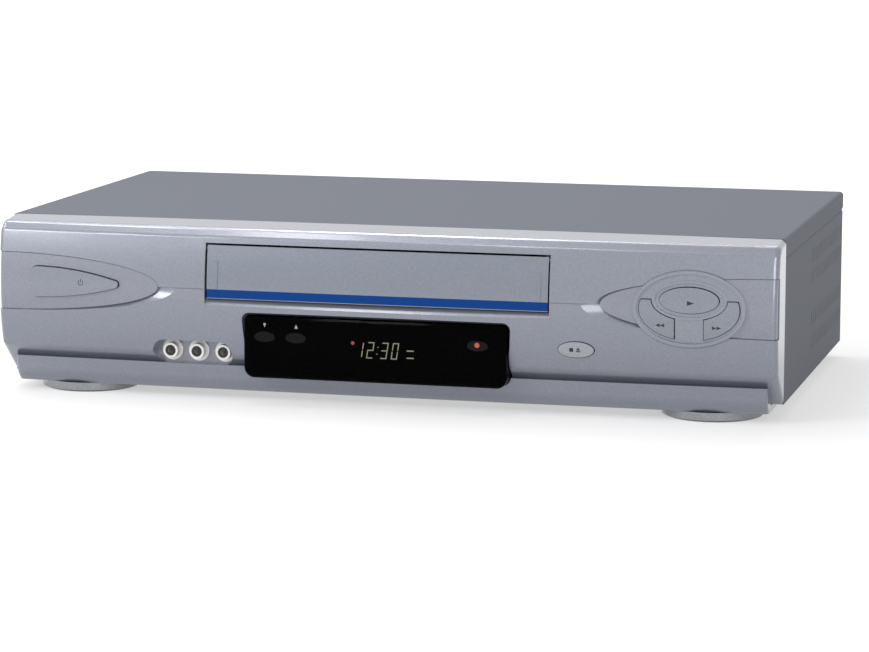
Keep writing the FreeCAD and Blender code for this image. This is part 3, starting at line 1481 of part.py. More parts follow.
jack_block = new_body("rear_jack_block")
sketch = front(jack_block, f"{REAR} - jack_block_inset")
rectangle(sketch, "jack_block_left", "jack_block_right", "jack_block_low", "jack_block_top")
pad(jack_block, sketch, "jack_block_depth")
sketch = front(jack_block, f"{REAR} - jack_block_inset - jack_block_depth / 2")
rectangle(sketch, "jack_block_left + 4", "jack_block_right - 4", BOARD_TOP, "jack_block_low + 5")
pad(jack_block, sketch, "jack_block_depth / 3")
keep(jack_block, "rear_jack_block")

line_jacks = []
for side_x in range(2):
    for row in range(3):
        jack = new_body("line_jack")
        sketch = front(jack, f"{REAR} - jack_block_inset")
        circle(sketch, "0", "0", "jack_radius")
        circle(sketch, "0", "0", "jack_bore / 2")
        pad(jack, sketch, "line_jack_length", back=True)
        line_jacks.append(place(
            jack, f"(jack_block_left + jack_block_right) / 2 + ({2 * side_x - 1}) * line_jack_pitch / 2", "0",
            f"jack_block_low + line_jack_start + {row} * line_jack_pitch"))
keep(group(*line_jacks), "rear_jacks")

# Deck plate of the tape mechanism, with shaft holes and the two arc slots of the loading posts
LOAD_RADIUS = "sqrt((post_rest_x - load_pivot_x) ^ 2 + (load_pivot_y - post_rest_y) ^ 2)"
deck = new_body("deck_sheet")
sketch = ground(deck, "deck_height")
rectangle(sketch, "-deck_half_width", "deck_half_width", "deck_front", "deck_rear")
for x, y, radius in (("capstan_x", "capstan_y", "capstan_tube_radius + 0.1"),
                     ("0", "idler_pivot_y", "clutch_shaft_radius + shaft_clearance")):
    circle(sketch, x, y, radius)
pad(deck, sketch, "deck_thickness")


def slot_arc(hand):
    """Slot swept by a loading post round its arm's pivot, from rest to the drum, with square ends."""
    body = new_body("post_slot")
    sketch = side(body)
    rectangle(sketch, f"{LOAD_RADIUS} - post_slot_width / 2", f"{LOAD_RADIUS} + post_slot_width / 2",
              "deck_height - 1", f"{DECK_TOP} + 1")
    turn(body, "Revolution", sketch, "load_sweep + slot_overrun", both=True)
    return aim(body, f"{hand} * load_pivot_x", "load_pivot_y",
               f"{hand} * (load_rest_angle + load_sweep / 2 - 90)")


pivots = []
for hand in (-1, 1):
    pivots.append(place(turned("load_pivot", [
        ("0", "load_gear_low - 1"), ("load_pivot_radius", "load_gear_low - 1"),
        ("load_pivot_radius", "deck_height + 0.5"), ("0", "deck_height + 0.5")]),
        f"{hand} * load_pivot_x", "load_pivot_y"))
for x, y, radius, high in (("-reel_place", "reel_y", "spindle_radius", "reel_low + spindle_height"),
                           ("reel_place", "reel_y", "spindle_radius", "reel_low + spindle_height"),
                           ("pinch_pivot_x", "pinch_pivot_y", "pivot_radius", "pinch_arm_low + 3.5"),
                           ("tension_pivot_x", "tension_pivot_y", "pivot_radius", "tension_arm_low + 3")):
    pivots.append(place(turned("deck_pin", [
        ("0", f"{DECK_TOP} - 0.5"), (radius, f"{DECK_TOP} - 0.5"), (radius, high), ("0", high)]), x, y))
    pivots.append(place(turned("deck_pin_foot", [
        ("0", f"{DECK_TOP} - 0.5"), (f"{radius} + 1.5", f"{DECK_TOP} - 0.5"),
        (f"{radius} + 1.5", "reel_low - shaft_clearance"), ("0", "reel_low - shaft_clearance")]), x, y))
keep(join(cut(deck, group(slot_arc(-1), slot_arc(1))), *pivots), "deck_plate")

# Guide frames: upright walls either side with the slots that steer the cassette holder
def guide_frame(hand, label):
    wall_x = f"{hand} * guide_inner"
    body = new_body(label)
    sketch = side(body, wall_x)
    shaft_y, shaft_z = "drive_y", "drive_z"
    outline(sketch, [
        ("guide_front", DECK_TOP), ("guide_rear", DECK_TOP), ("guide_rear", "guide_top"),
        (f"{shaft_y} + ear_half_width", "guide_top"), (f"{shaft_y} + ear_half_width", "ear_top"),
        (f"{shaft_y} - ear_half_width", "ear_top"), (f"{shaft_y} - ear_half_width", "guide_top"),
        ("guide_front", "guide_top")])
    circle(sketch, shaft_y, shaft_z, "drive_shaft_radius + running_gap")
    front_y = "holder_pin_y - guide_slot_width / 2"
    rear_y = "holder_pin_y + holder_travel + guide_slot_width / 2"
    high_z, low_z = "holder_pin_z + guide_slot_width / 2", "holder_pin_z - guide_slot_width / 2"
    outline(sketch, [
        (front_y, low_z), (f"{rear_y} - guide_slot_width", low_z),
        (f"{rear_y} - guide_slot_width", f"{low_z} - holder_drop"), (rear_y, f"{low_z} - holder_drop"),
        (rear_y, high_z), (front_y, high_z)])
    pad(body, sketch, "guide_thickness", back=(hand == -1))
    sketch = ground(body, DECK_TOP)
    rectangle(sketch, f"{wall_x} + {hand} * 0.2", f"{wall_x} + {hand} * guide_flange", "guide_front", "guide_rear")
    pad(body, sketch, "guide_thickness")
    return body


keep(guide_frame(-1, "left_guide_frame"), "left_guide_frame")
right_frame = guide_frame(1, "right_guide_frame")
sketch = front(right_frame, "motor_front")
rectangle(sketch, "guide_inner + guide_thickness / 2", "motor_x + motor_radius",
          "worm_z - motor_radius", "guide_top")
circle(sketch, "motor_x", "worm_z", "worm_shaft_radius + shaft_clearance")
pad(right_frame, sketch, "guide_thickness")
keep(right_frame, "right_guide_frame")

keep(block("top_brace", "-guide_inner - guide_thickness", "guide_inner + guide_thickness",
           "brace_front", "brace_rear", "guide_top", "guide_top + guide_thickness"), "top_brace")

# Carriage: two side plates with racks on top and a cross bar; it slides rearwards
RACK_PITCH = "(3.14159265 * rack_module)"
RACK_LINE = "(drive_z - pinion_teeth * rack_module / 2)"
plates = []
for hand in (-1, 1):
    plate = new_body("carriage_plate")
    sketch = side(plate, f"{hand} * carriage_inner")
    rectangle(sketch, "carriage_front", "carriage_rear", "carriage_low", f"{RACK_LINE} + rack_module")
    for number in range(2):
        pin_y = f"(holder_pin_y - {number} * holder_pin_pitch)"
        rectangle(sketch, f"{pin_y} - holder_pin_radius - shaft_clearance",
                  f"{pin_y} + holder_pin_radius + shaft_clearance",
                  "holder_pin_z - holder_drop - holder_pin_radius - 0.3", "holder_pin_z + holder_pin_radius + 0.3")
    pad(plate, sketch, "carriage_thickness", back=(hand == -1))
    sketch = side(plate, f"{hand} * (carriage_inner - 0.5)")
    root = f"{RACK_LINE} - 1.25 * rack_module"
    tip = f"{RACK_LINE} + rack_module + 0.5"
    start = f"(drive_y + {RACK_PITCH} / 2)"
    outline(sketch, [
        (f"{start} - rack_gap_root * {RACK_PITCH}", root), (f"{start} + rack_gap_root * {RACK_PITCH}", root),
        (f"{start} + rack_gap_tip * {RACK_PITCH}", tip), (f"{start} - rack_gap_tip * {RACK_PITCH}", tip)])
    notch = pocket(plate, sketch, "carriage_thickness + 2", back=(hand == 1))
    rack = repeat(plate, notch, "Y_Axis", f"{RACK_PITCH} * (rack_gaps - 1)", "rack_gaps")
    rack.Reversed = True
    doc.recompute()
    plates.append(plate)
bar = block("carriage_bar", "-carriage_inner - 0.5", "carriage_inner + 0.5", "carriage_bar_y",
            "carriage_bar_y + carriage_bar_depth", "carriage_bar_low", "carriage_bar_low + carriage_thickness")
keep(join(*plates, bar), "carriage_slider")

# Cassette holder: a sheet cradle under the carriage's bar, with two pins at each side
holder = new_body("holder_sheet")
sketch = front(holder, "holder_rear")
half = "(holder_half_width + holder_sheet)"
outline(sketch, [
    (f"-{half}", "holder_low"), ("-holder_half_width + holder_lip", "holder_low"),
    ("-holder_half_width + holder_lip", "holder_low + holder_sheet"),
    ("-holder_half_width", "holder_low + holder_sheet"), ("-holder_half_width", "holder_top - holder_sheet"),
    ("holder_half_width", "holder_top - holder_sheet"), ("holder_half_width", "holder_low + holder_sheet"),
    ("holder_half_width - holder_lip", "holder_low + holder_sheet"),
    ("holder_half_width - holder_lip", "holder_low"), (half, "holder_low"), (half, "holder_top"),
    (f"-{half}", "holder_top")])
pad(holder, sketch, "holder_rear - holder_front")
pins = []
for hand in (-1, 1):
    for number in range(2):
        peg = new_body("holder_pin")
        sketch = side(peg, f"{hand} * (holder_half_width + 0.4)")
        circle(sketch, f"holder_pin_y - {number} * holder_pin_pitch", "holder_pin_z", "holder_pin_radius")
        pad(peg, sketch, "guide_inner - holder_half_width - 0.4 - pin_end_gap", back=(hand == -1))
        pins.append(peg)
keep(join(holder, *pins), "cassette_holder")

# Drive shaft across the frames: a pinion over each rack and the worm wheel at the right
rod = new_body("drive_rod")
sketch = side(rod, "-(guide_inner + guide_thickness + 1)")
circle(sketch, "0", "0", "drive_shaft_radius")
pad(rod, sketch, "guide_inner + guide_thickness + 1 + worm_wheel_x + worm_wheel_width")
sketch = side(rod, "worm_wheel_x")
circle(sketch, "0", "0", "worm_wheel_radius")
pad(rod, sketch, "worm_wheel_width")
wheels = []
for hand in (-1, 1):
    wheel = toothed("pinion", "pinion_teeth", "(pinion_teeth / 2 + 1) * rack_module",
                    "(pinion_teeth / 2 - 1.2) * rack_module", "0", "carriage_thickness + 0.6",
                    "drive_shaft_radius - 0.2")
    place(wheel, f"{hand} * (carriage_inner + carriage_thickness / 2) - (carriage_thickness + 0.6) / 2")
    wheel.Placement.Rotation = FreeCAD.Rotation(VECTOR(0, 1, 0), 90)
    wheels.append(wheel)
keep(place(join(rod, *wheels), "0", "drive_y", "drive_z"), "drive_shaft")

# Loading motor and its worm
worm = new_body("loading_worm")
sketch = front(worm, "motor_front - guide_thickness - 1")
circle(sketch, "0", "0", "worm_radius")
pad(worm, sketch, "worm_length")
sketch = front(worm, "motor_front + worm_shaft_seat")
circle(sketch, "0", "0", "worm_shaft_radius")
pad(worm, sketch, "worm_shaft_seat + guide_thickness + 2")
keep(place(worm, "motor_x", "0", "worm_z"), "loading_worm")
motor = new_body("loading_motor")
sketch = front(motor, "motor_front + motor_length")
circle(sketch, "0", "0", "motor_radius")
pad(motor, sketch, "motor_length - seat_gap")
sketch = front(motor, "motor_front - 1")
circle(sketch, "0", "0", "worm_shaft_radius + shaft_clearance")
pocket(motor, sketch, "worm_shaft_seat + 2")
keep(place(motor, "motor_x", "0", "worm_z"), "loading_motor")

# Tilted drum: the lower half stands on its base, the upper half turns on the pin
DRUM_TILT = FreeCAD.Rotation(VECTOR(0, 1, 0), value("drum_tilt"))


def tilt(thing):
    place(thing, "0", "drum_y", "drum_gap_height")
    thing.Placement.Rotation = DRUM_TILT
    thing.setExpression("Placement.Rotation.Angle", bound("drum_tilt"))
    return thing


lower = tilt(turned("lower_drum_half", [
    ("0", "-drum_lower_height"), ("drum_radius", "-drum_lower_height"), ("drum_radius", "0"),
    ("drum_pin_radius", "0"), ("drum_pin_radius", "drum_upper_height - 3"), ("0", "drum_upper_height - 3")]))
base = place(turned("drum_base", [
    ("0", DECK_TOP), ("drum_base_radius", DECK_TOP), ("drum_base_radius", f"{DECK_TOP} + drum_base_height"),
    ("drum_base_radius - 6", "drum_gap_height - drum_lower_height + 3"),
    ("0", "drum_gap_height - drum_lower_height + 3")]), "0", "drum_y")
keep(join(lower, base), "lower_drum")
keep(tilt(turned("upper_drum", [
    ("drum_pin_radius + running_gap", "drum_gap"), ("drum_radius", "drum_gap"), ("drum_radius", "drum_upper_height"),
    ("drum_boss_radius + 2", "drum_upper_height"), ("drum_boss_radius + 2", "drum_upper_height - 2"),
    ("drum_pin_radius + running_gap", "drum_upper_height - 2")])), "upper_drum")

# Capstan: bearing tube on the deck; shaft, pulley and flywheel turn in it
bearing = turned("capstan_bearing", [
    ("capstan_radius + shaft_clearance", DECK_TOP), ("capstan_flange_radius", DECK_TOP),
    ("capstan_flange_radius", f"{DECK_TOP} + 1.5"), ("capstan_tube_radius", f"{DECK_TOP} + 1.5"),
    ("capstan_tube_radius - 1", "capstan_tube_top"), ("capstan_radius + shaft_clearance", "capstan_tube_top")])
keep(place(bearing, "capstan_x", "capstan_y"), "capstan_bearing")
flywheel = turned("capstan_flywheel", [
    ("0", "flywheel_low"), ("flywheel_radius", "flywheel_low"), ("flywheel_radius", "flywheel_low + flywheel_height"),
    ("capstan_pulley_radius", "flywheel_low + flywheel_height"),
    ("capstan_pulley_radius", "belt_low + belt_height"), ("capstan_radius", "belt_low + belt_height"),
    ("capstan_radius", "capstan_top"), ("0", "capstan_top")])
keep(place(flywheel, "capstan_x", "capstan_y"), "capstan_flywheel")

# Reel clutch: pulley below the deck and drive wheel above it, on one short shaft
clutch = turned("reel_clutch", [
    ("0", "belt_low - 0.4"), ("clutch_pulley_radius", "belt_low - 0.4"),
    ("clutch_pulley_radius", "belt_low + belt_height"), ("clutch_shaft_radius", "belt_low + belt_height"),
    ("clutch_shaft_radius", "reel_low"), ("clutch_radius", "reel_low"), ("clutch_radius", "reel_low + clutch_height"),
    ("clutch_shaft_radius", "reel_low + clutch_height"), ("clutch_shaft_radius", "idler_arm_low + idler_arm_thickness + 1"),
    ("0", "idler_arm_low + idler_arm_thickness + 1")])
keep(place(clutch, "0", "idler_pivot_y"), "reel_clutch")

# Flat belt round the capstan pulley and the clutch pulley
SPAN = "sqrt(capstan_x ^ 2 + (capstan_y - idler_pivot_y) ^ 2)"
LEAN = "atan2(capstan_y - idler_pivot_y; capstan_x)"
WRAP = f"acos((clutch_pulley_radius - capstan_pulley_radius) / {SPAN})"


def belt_corner(x, y, radius, turn_sign):
    angle = f"({LEAN} + {turn_sign} * {WRAP})"
    return (f"{x} + ({radius}) * cos({angle})", f"{y} + ({radius}) * sin({angle})")


def belt_outline(sketch, grow):
    big, small = f"(clutch_pulley_radius + {grow})", f"(capstan_pulley_radius + {grow})"
    points = [belt_corner("0", "idler_pivot_y", big, 1), belt_corner("0", "idler_pivot_y", big, -1),
              belt_corner("capstan_x", "capstan_y", small, -1), belt_corner("capstan_x", "capstan_y", small, 1)]
    back = (f"-({big}) * cos({LEAN})", f"idler_pivot_y - ({big}) * sin({LEAN})")
    ahead_point = (f"capstan_x + ({small}) * cos({LEAN})", f"capstan_y + ({small}) * sin({LEAN})")
    outline(sketch, [points[0], back + (big, 1), points[1] + (big, 1), points[2],
                     ahead_point + (small, 1), points[3] + (small, 1)])


belt = new_body("drive_belt")
sketch = ground(belt, "belt_low")
belt_outline(sketch, "belt_gap")
belt_outline(sketch, "(belt_gap + belt_thickness)")
pad(belt, sketch, "belt_height")
keep(belt, "drive_belt")

# Reel tables with six-toothed hubs
def reel(label, x):
    body = turned(label, [
        ("spindle_radius + running_gap", "reel_low"), ("reel_rim_radius", "reel_low"),
        ("reel_rim_radius", "reel_low + 3"), ("reel_disc_radius", "reel_low + 3"),
        ("reel_disc_radius", "reel_low + reel_height"), ("reel_hub_radius", "reel_low + reel_height"),
        ("reel_hub_radius - 1", "reel_low + reel_hub_height"),
        ("spindle_radius + running_gap", "reel_low + reel_hub_height")])
    sketch = ground(body, "reel_low + reel_height - 0.2")
    rectangle(sketch, "reel_hub_radius - 1.5", "reel_hub_radius + reel_tooth", "-0.8", "0.8")
    tooth = pad(body, sketch, "reel_hub_height - reel_height - 4")
    ring_of(body, tooth, "6")
    keep(place(body, x, "reel_y"), label)


reel("supply_reel", "-reel_place")
reel("takeup_reel", "reel_place")


# Arms: a bar with rounded ends between a pivot eye and an outer eye, lying along +X when made
def arm(name, length, half_width, low, thickness, bore):
    body = new_body(name)
    sketch = ground(body, low)
    outline(sketch, [("0", f"-({half_width})"), (length, f"-({half_width})"),
                     (f"({length}) + ({half_width})", "0", half_width, 1), (length, half_width, half_width, 1),
                     ("0", half_width), (f"-({half_width})", "0", half_width, 1)], closing=(half_width, 1))
    circle(sketch, "0", "0", bore)
    pad(body, sketch, thickness)
    return body


def peg(name, x, low, high, radius):
    return place(turned(name, [("0", low), (radius, low), (radius, high), ("0", high)]), x)


idler_bar = arm("idler_bar", "idler_length", "4", "idler_arm_low", "idler_arm_thickness",
                "clutch_shaft_radius + running_gap")
idler_pin = peg("idler_pin", "idler_length", "reel_low + 0.2", "idler_arm_low + 0.5", "idler_pin_radius")
keep(aim(join(idler_bar, idler_pin), "0", "idler_pivot_y", "-90"), "idler_arm")
keep(place(turned("idler_wheel", [
    ("idler_pin_radius + running_gap", "reel_low + 0.2"), ("idler_radius", "reel_low + 0.2"),
    ("idler_radius", "reel_low + clutch_height"), ("idler_pin_radius + running_gap", "reel_low + clutch_height")]),
    "0", "idler_pivot_y - idler_length"), "idler_wheel")

PINCH_LENGTH = "sqrt((pinch_pivot_x - pinch_x) ^ 2 + (pinch_pivot_y - pinch_y) ^ 2)"
PINCH_ANGLE = "atan2(pinch_y - pinch_pivot_y; pinch_x - pinch_pivot_x)"
pinch_bar = arm("pinch_bar", PINCH_LENGTH, "4", "pinch_arm_low", "2", "pivot_radius + running_gap")
pinch_pin = peg("pinch_pin", PINCH_LENGTH, "pinch_roller_low - 1", "pinch_arm_low + 0.5", "roller_pin_radius")
keep(aim(join(pinch_bar, pinch_pin), "pinch_pivot_x", "pinch_pivot_y", PINCH_ANGLE), "pinch_arm")
keep(place(turned("pinch_roller", [
    ("roller_pin_radius + running_gap", "pinch_roller_low"), ("pinch_roller_radius", "pinch_roller_low"),
    ("pinch_roller_radius", "pinch_arm_low - 0.4"), ("roller_pin_radius + running_gap", "pinch_arm_low - 0.4")]),
    "pinch_x", "pinch_y"), "pinch_roller")

TENSION_LENGTH = "sqrt((tension_pivot_x - tension_x) ^ 2 + (tension_pivot_y - tension_y) ^ 2)"
TENSION_ANGLE = "atan2(tension_y - tension_pivot_y; tension_x - tension_pivot_x)"
tension_bar = arm("tension_bar", TENSION_LENGTH, "3.5", "tension_arm_low", "1.5", "pivot_radius + running_gap")
tension_pole = peg("tension_pole", TENSION_LENGTH, "tension_arm_low", "tape_ceiling - 4", "tape_pole_radius")
keep(aim(join(tension_bar, tension_pole), "tension_pivot_x", "tension_pivot_y", TENSION_ANGLE), "tension_arm")


# Loading arms under the deck, geared together, each with a post that comes up through its slot
def loading_arm(hand, label):
    bar = arm(label + "_bar", LOAD_RADIUS, "4", "load_gear_low", "load_gear_height - 0.4",
              "load_pivot_radius + running_gap")
    gear = toothed(label + "_gear", "load_teeth", "load_pivot_x + 0.9", "load_pivot_x - 1.2", "load_gear_low",
                   "load_gear_low + load_gear_height", "load_pivot_radius + running_gap")
    mesh_angle = "180 - load_rest_angle" if hand == 1 else "load_rest_angle - 180 + 180 / load_teeth"
    aim(gear, "0", "0", mesh_angle)
    post = peg(label + "_post", LOAD_RADIUS, "load_gear_low + 1", "tape_ceiling", "load_post_radius")
    angle = "load_rest_angle" if hand == 1 else "(180 - load_rest_angle)"
    keep(aim(join(bar, gear, post), f"{hand} * load_pivot_x", "load_pivot_y", angle), label)


loading_arm(-1, "supply_loading_arm")
loading_arm(1, "takeup_loading_arm")

# Fixed heads: full-erase at the supply side, audio and control at the take-up side
heads = []
for x, y, half_x, half_y, high in (("-erase_x", "erase_y", "5", "4", "tape_ceiling - 6"),
                                   ("audio_x", "audio_y", "6", "5", "tape_ceiling - 4")):
    head = new_body("tape_head")
    sketch = ground(head, DECK_TOP)
    rectangle(sketch, f"-{half_x} - 2", f"{half_x} + 2", f"-{half_y} - 1", f"{half_y} + 1")
    pad(head, sketch, "2")
    sketch = ground(head, f"{DECK_TOP} + 1")
    rectangle(sketch, f"-{half_x} / 2", f"{half_x} / 2", f"-{half_y} / 2", f"{half_y} / 2")
    pad(head, sketch, "head_low - deck_height - deck_thickness")
    sketch = ground(head, "head_low")
    outline(sketch, [(f"-{half_x}", f"-{half_y} / 2"), (f"{half_x}", f"-{half_y} / 2", f"{half_x} * 1.4", 1),
                     (half_x, half_y), (f"-{half_x}", half_y)])
    pad(head, sketch, f"{high} - head_low")
    heads.append(place(head, x, y))
keep(group(*heads), "tape_heads")

# Check every object of the document, then write one file for each sub-part
doc.recompute()
for thing in doc.Objects:
    if "Invalid" in thing.State or "Error" in thing.State:
        raise RuntimeError(f"{thing.Name} is {thing.State}")
for thing in subparts:
    if thing.Shape.isNull() or not thing.Shape.isValid() or not thing.Shape.Solids:
        raise RuntimeError(f"{thing.Label} has no sound solid")
os.makedirs("parts", exist_ok=True)
for thing in subparts:
    thing.Shape.exportStep(f"parts/{thing.Label}.step")
print(len(subparts), "sub-parts written")
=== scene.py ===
# %% [markdown]
# # A full-size video cassette recorder
# The deck is a wide, low steel box with a moulded silver front. Its shape and its moving
# pieces come from the CAD model, which this lesson loads as a fixed frame. Blender adds
# what CAD leaves out: the finish of each material, the printed signs on the keys, the lit
# clock behind the smoked window and the small fittings inside the sockets.

# %% Load the CAD frame
import math

import bmesh
import bpy
from mathutils import Euler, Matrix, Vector
from mathutils.bvhtree import BVHTree


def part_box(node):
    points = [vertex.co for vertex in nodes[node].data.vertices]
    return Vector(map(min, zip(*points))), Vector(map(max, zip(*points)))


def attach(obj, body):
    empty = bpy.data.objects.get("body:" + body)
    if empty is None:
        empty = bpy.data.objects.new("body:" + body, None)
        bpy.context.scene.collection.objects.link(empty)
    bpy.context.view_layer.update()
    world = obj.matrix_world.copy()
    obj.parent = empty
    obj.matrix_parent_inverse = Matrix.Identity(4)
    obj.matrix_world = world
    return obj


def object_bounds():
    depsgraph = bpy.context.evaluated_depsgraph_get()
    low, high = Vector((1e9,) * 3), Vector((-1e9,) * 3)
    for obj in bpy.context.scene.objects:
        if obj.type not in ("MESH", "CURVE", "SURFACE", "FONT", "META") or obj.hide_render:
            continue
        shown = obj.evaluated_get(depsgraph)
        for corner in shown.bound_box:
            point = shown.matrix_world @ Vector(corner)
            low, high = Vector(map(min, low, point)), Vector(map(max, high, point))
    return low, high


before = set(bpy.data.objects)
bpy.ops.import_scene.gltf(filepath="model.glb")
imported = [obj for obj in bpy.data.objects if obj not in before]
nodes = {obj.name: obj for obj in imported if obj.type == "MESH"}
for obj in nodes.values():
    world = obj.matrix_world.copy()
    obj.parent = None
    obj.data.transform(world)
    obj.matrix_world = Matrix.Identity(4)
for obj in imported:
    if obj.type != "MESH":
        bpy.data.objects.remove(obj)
cad_low, cad_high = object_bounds()
print("CAD box in mm:", [round(1000 * (b - a), 1) for a, b in zip(cad_low, cad_high)])

# %% [markdown]
# The drawing of the deck is in millimetres and Blender works in metres. Heights on the
# front are easiest to read as a drop from the top of the deck, so one function turns a
# place on the front, given as across, depth and drop, into a point.

# %% Millimetres and places on the front
MM = 0.001
TOP = 96.5


def spot(across, depth, drop):
    """A point in metres from millimetres: across, depth along Y, and drop below the top."""
    return Vector((across * MM, depth * MM, (TOP - drop) * MM))


print("centre of the clock:", spot(2, -120, 64))

# %% [markdown]
# The photograph was taken with a long lens from the right of the deck, a little above it.
# The camera stands 1.85 m away, turned 15 degrees to the left and tipped 9 degrees down,
# so the lines of the casing run nearly level.

# %% Camera at the photograph's angle
CAMERA_PLACE = (468.3, -1760.7, 319.5)
FOCAL_LENGTH, TIPPED_DOWN, TURNED_LEFT = 134.48, 9.13, 14.90
camera_data = bpy.data.cameras.new("long_lens")
camera_data.sensor_width = 36.0
camera_data.sensor_fit = "HORIZONTAL"
camera_data.lens = FOCAL_LENGTH
camera_data.clip_end = 50.0
camera = bpy.data.objects.new("camera", camera_data)
camera.location = Vector(CAMERA_PLACE) * MM
camera.rotation_euler = Euler((math.radians(90 - TIPPED_DOWN), 0, math.radians(TURNED_LEFT)))
bpy.context.scene.collection.objects.link(camera)
bpy.context.scene.camera = camera
bpy.context.scene.view_settings.view_transform = "Standard"
print("distance to the deck:", round(camera.location.length, 3), "m")

# %% [markdown]
# Colours are written as sRGB hex values, as a paint shop or a web page gives them. The
# shaders want linear values, so one function does that sum. Materials are node trees, and
# one small function adds a node, sets it and links its inputs.

# %% Colours and nodes
def linear(code):
    """A hex colour such as 8B8F9B as linear red, green, blue and alpha."""
    parts = [int(code[i:i + 2], 16) / 255 for i in (0, 2, 4)]
    return [c / 12.92 if c <= 0.04045 else ((c + 0.055) / 1.055) ** 2.4 for c in parts] + [1.0]


def add(tree, kind, inputs=(), **settings):
    """Add a node; inputs is a dictionary of socket name or number to a value or another socket."""
    made = tree.nodes.new(kind)
    for name, setting in settings.items():
        setattr(made, name, setting)
    for name, given in dict(inputs).items():
        if isinstance(given, bpy.types.NodeSocket):
            tree.links.new(given, made.inputs[name])
        else:
            made.inputs[name].default_value = given
    return made


print("mid silver in linear:", [round(c, 3) for c in linear("8B8F9B")[:3]])

# %% [markdown]
# ## The studio
# The deck stands on white paper. For what the camera sees, the world is plain white. For
# the light that falls on things it is softer, so that the lamps can give the shapes some
# form. Metal and glass mirror the white too.

# %% World light
world = bpy.data.worlds.new("white_studio")
bpy.context.scene.world = world
world.use_nodes = True
world.node_tree.nodes.clear()
SOFT_LEVEL = 0.42


def seen_directly(tree):
    """1 for rays from the camera, a mirror or glass, and 0 for the light that falls on things."""
    path = add(tree, "ShaderNodeLightPath")
    either = add(tree, "ShaderNodeMath", {
        0: path.outputs["Is Camera Ray"], 1: path.outputs["Is Glossy Ray"]}, operation="ADD")
    return add(tree, "ShaderNodeMath", {0: either.outputs[0], 1: path.outputs["Is Transmission Ray"]},
               operation="ADD", use_clamp=True).outputs[0]


air = world.node_tree
level = add(air, "ShaderNodeMapRange", {"Value": seen_directly(air), "To Min": SOFT_LEVEL, "To Max": 1.0})
sky = add(air, "ShaderNodeBackground", {"Color": (1.0, 1.0, 1.0, 1.0), "Strength": level.outputs[0]})
add(air, "ShaderNodeOutputWorld", {"Surface": sky.outputs[0]})
print("world light level:", SOFT_LEVEL)

# %% [markdown]
# The paper is a matt white disc under the feet. Some of its white is added only for the
# rays that see it directly, and a little more of it further out, so it stays as white as
# the background while the soft shadow of the deck still shows.

# %% Paper floor
paper = bpy.data.materials.new("white_background_paper")
paper.use_nodes = True
paper.node_tree.nodes.clear()
sheet = paper.node_tree
ground = add(sheet, "ShaderNodeTexCoord")
LIFT_NEAR, LIFT_FAR = 0.48, 0.80
NEAR_DISTANCE, FAR_DISTANCE = 0.3, 1.2
away = add(sheet, "ShaderNodeVectorMath", {0: ground.outputs["Object"]}, operation="LENGTH")
lift_here = add(sheet, "ShaderNodeMapRange", {
    "Value": away.outputs["Value"], "From Min": NEAR_DISTANCE, "From Max": FAR_DISTANCE,
    "To Min": LIFT_NEAR, "To Max": LIFT_FAR})
lift = add(sheet, "ShaderNodeMath", {
    0: seen_directly(sheet), 1: lift_here.outputs[0]}, operation="MULTIPLY")
matt = add(sheet, "ShaderNodeBsdfPrincipled", {
    "Base Color": linear("C6C6C6"), "Roughness": 0.9, "Specular IOR Level": 0.1,
    "Emission Color": (1.0, 1.0, 1.0, 1.0), "Emission Strength": lift.outputs[0]})
add(sheet, "ShaderNodeOutputMaterial", {"Surface": matt.outputs[0]})

FLOOR_RADIUS = 9.0
floor_mesh = bpy.data.meshes.new("paper_floor")
disc = bmesh.new()
bmesh.ops.create_circle(disc, cap_ends=True, segments=64, radius=FLOOR_RADIUS)
disc.to_mesh(floor_mesh)
disc.free()
floor = bpy.data.objects.new("paper_floor", floor_mesh)
floor.location = (0, 0, cad_low.z)
floor_mesh.materials.append(paper)
bpy.context.scene.collection.objects.link(floor)
print("paper at height", round(cad_low.z * 1000, 2), "mm")

# %% [markdown]
# Four soft boxes light the deck. Two long, narrow ones hang overhead. The one behind the
# front puts the white line along the brow of the panel, and the one before it does the same
# for the steeper sill under the cassette door. One at the front left, above the level of
# the panel, gives the bright left end. A wide one at the front right lights the rest of the
# front and the side of the cover evenly.

# %% Soft boxes
def soft_box(name, place, target, width, height, watts):
    """A rectangular lamp at place, facing target, both in metres."""
    lamp = bpy.data.lights.new(name, "AREA")
    lamp.shape = "RECTANGLE"
    lamp.size, lamp.size_y, lamp.energy = width, height, watts
    holder = bpy.data.objects.new(name, lamp)
    holder.location = place
    holder.rotation_euler = (Vector(target) - Vector(place)).to_track_quat("-Z", "Y").to_euler()
    bpy.context.scene.collection.objects.link(holder)


soft_box("overhead_strip", (-0.42, 0.46, 1.15), (-0.1, -0.05, 0.05), 2.1, 0.11, 10.0)
soft_box("front_left_box", (-0.98, -1.12, 0.74), (-0.2, -0.12, 0.05), 0.7, 0.6, 9.5)
soft_box("sill_strip", (-0.33, -0.29, 1.15), (0.0, -0.12, 0.05), 1.1, 0.09, 2.4)
soft_box("front_right_box", (0.92, -1.85, 0.58), (0.0, -0.12, 0.05), 1.0, 1.0, 12.5)

# %% [markdown]
# ## Finishes
# Every finish below is a Principled shader with its patterns in Object coordinates, which
# are metres here. A pattern's scale is one over its size in metres, so flakes of 0.4 mm
# need a scale of 2500. A wave is different: it runs through 20 radians per unit of its
# scale, so its bands lie 2 pi times as far apart as one radian is long. What is the same
# all over is set on the shader's own sockets.

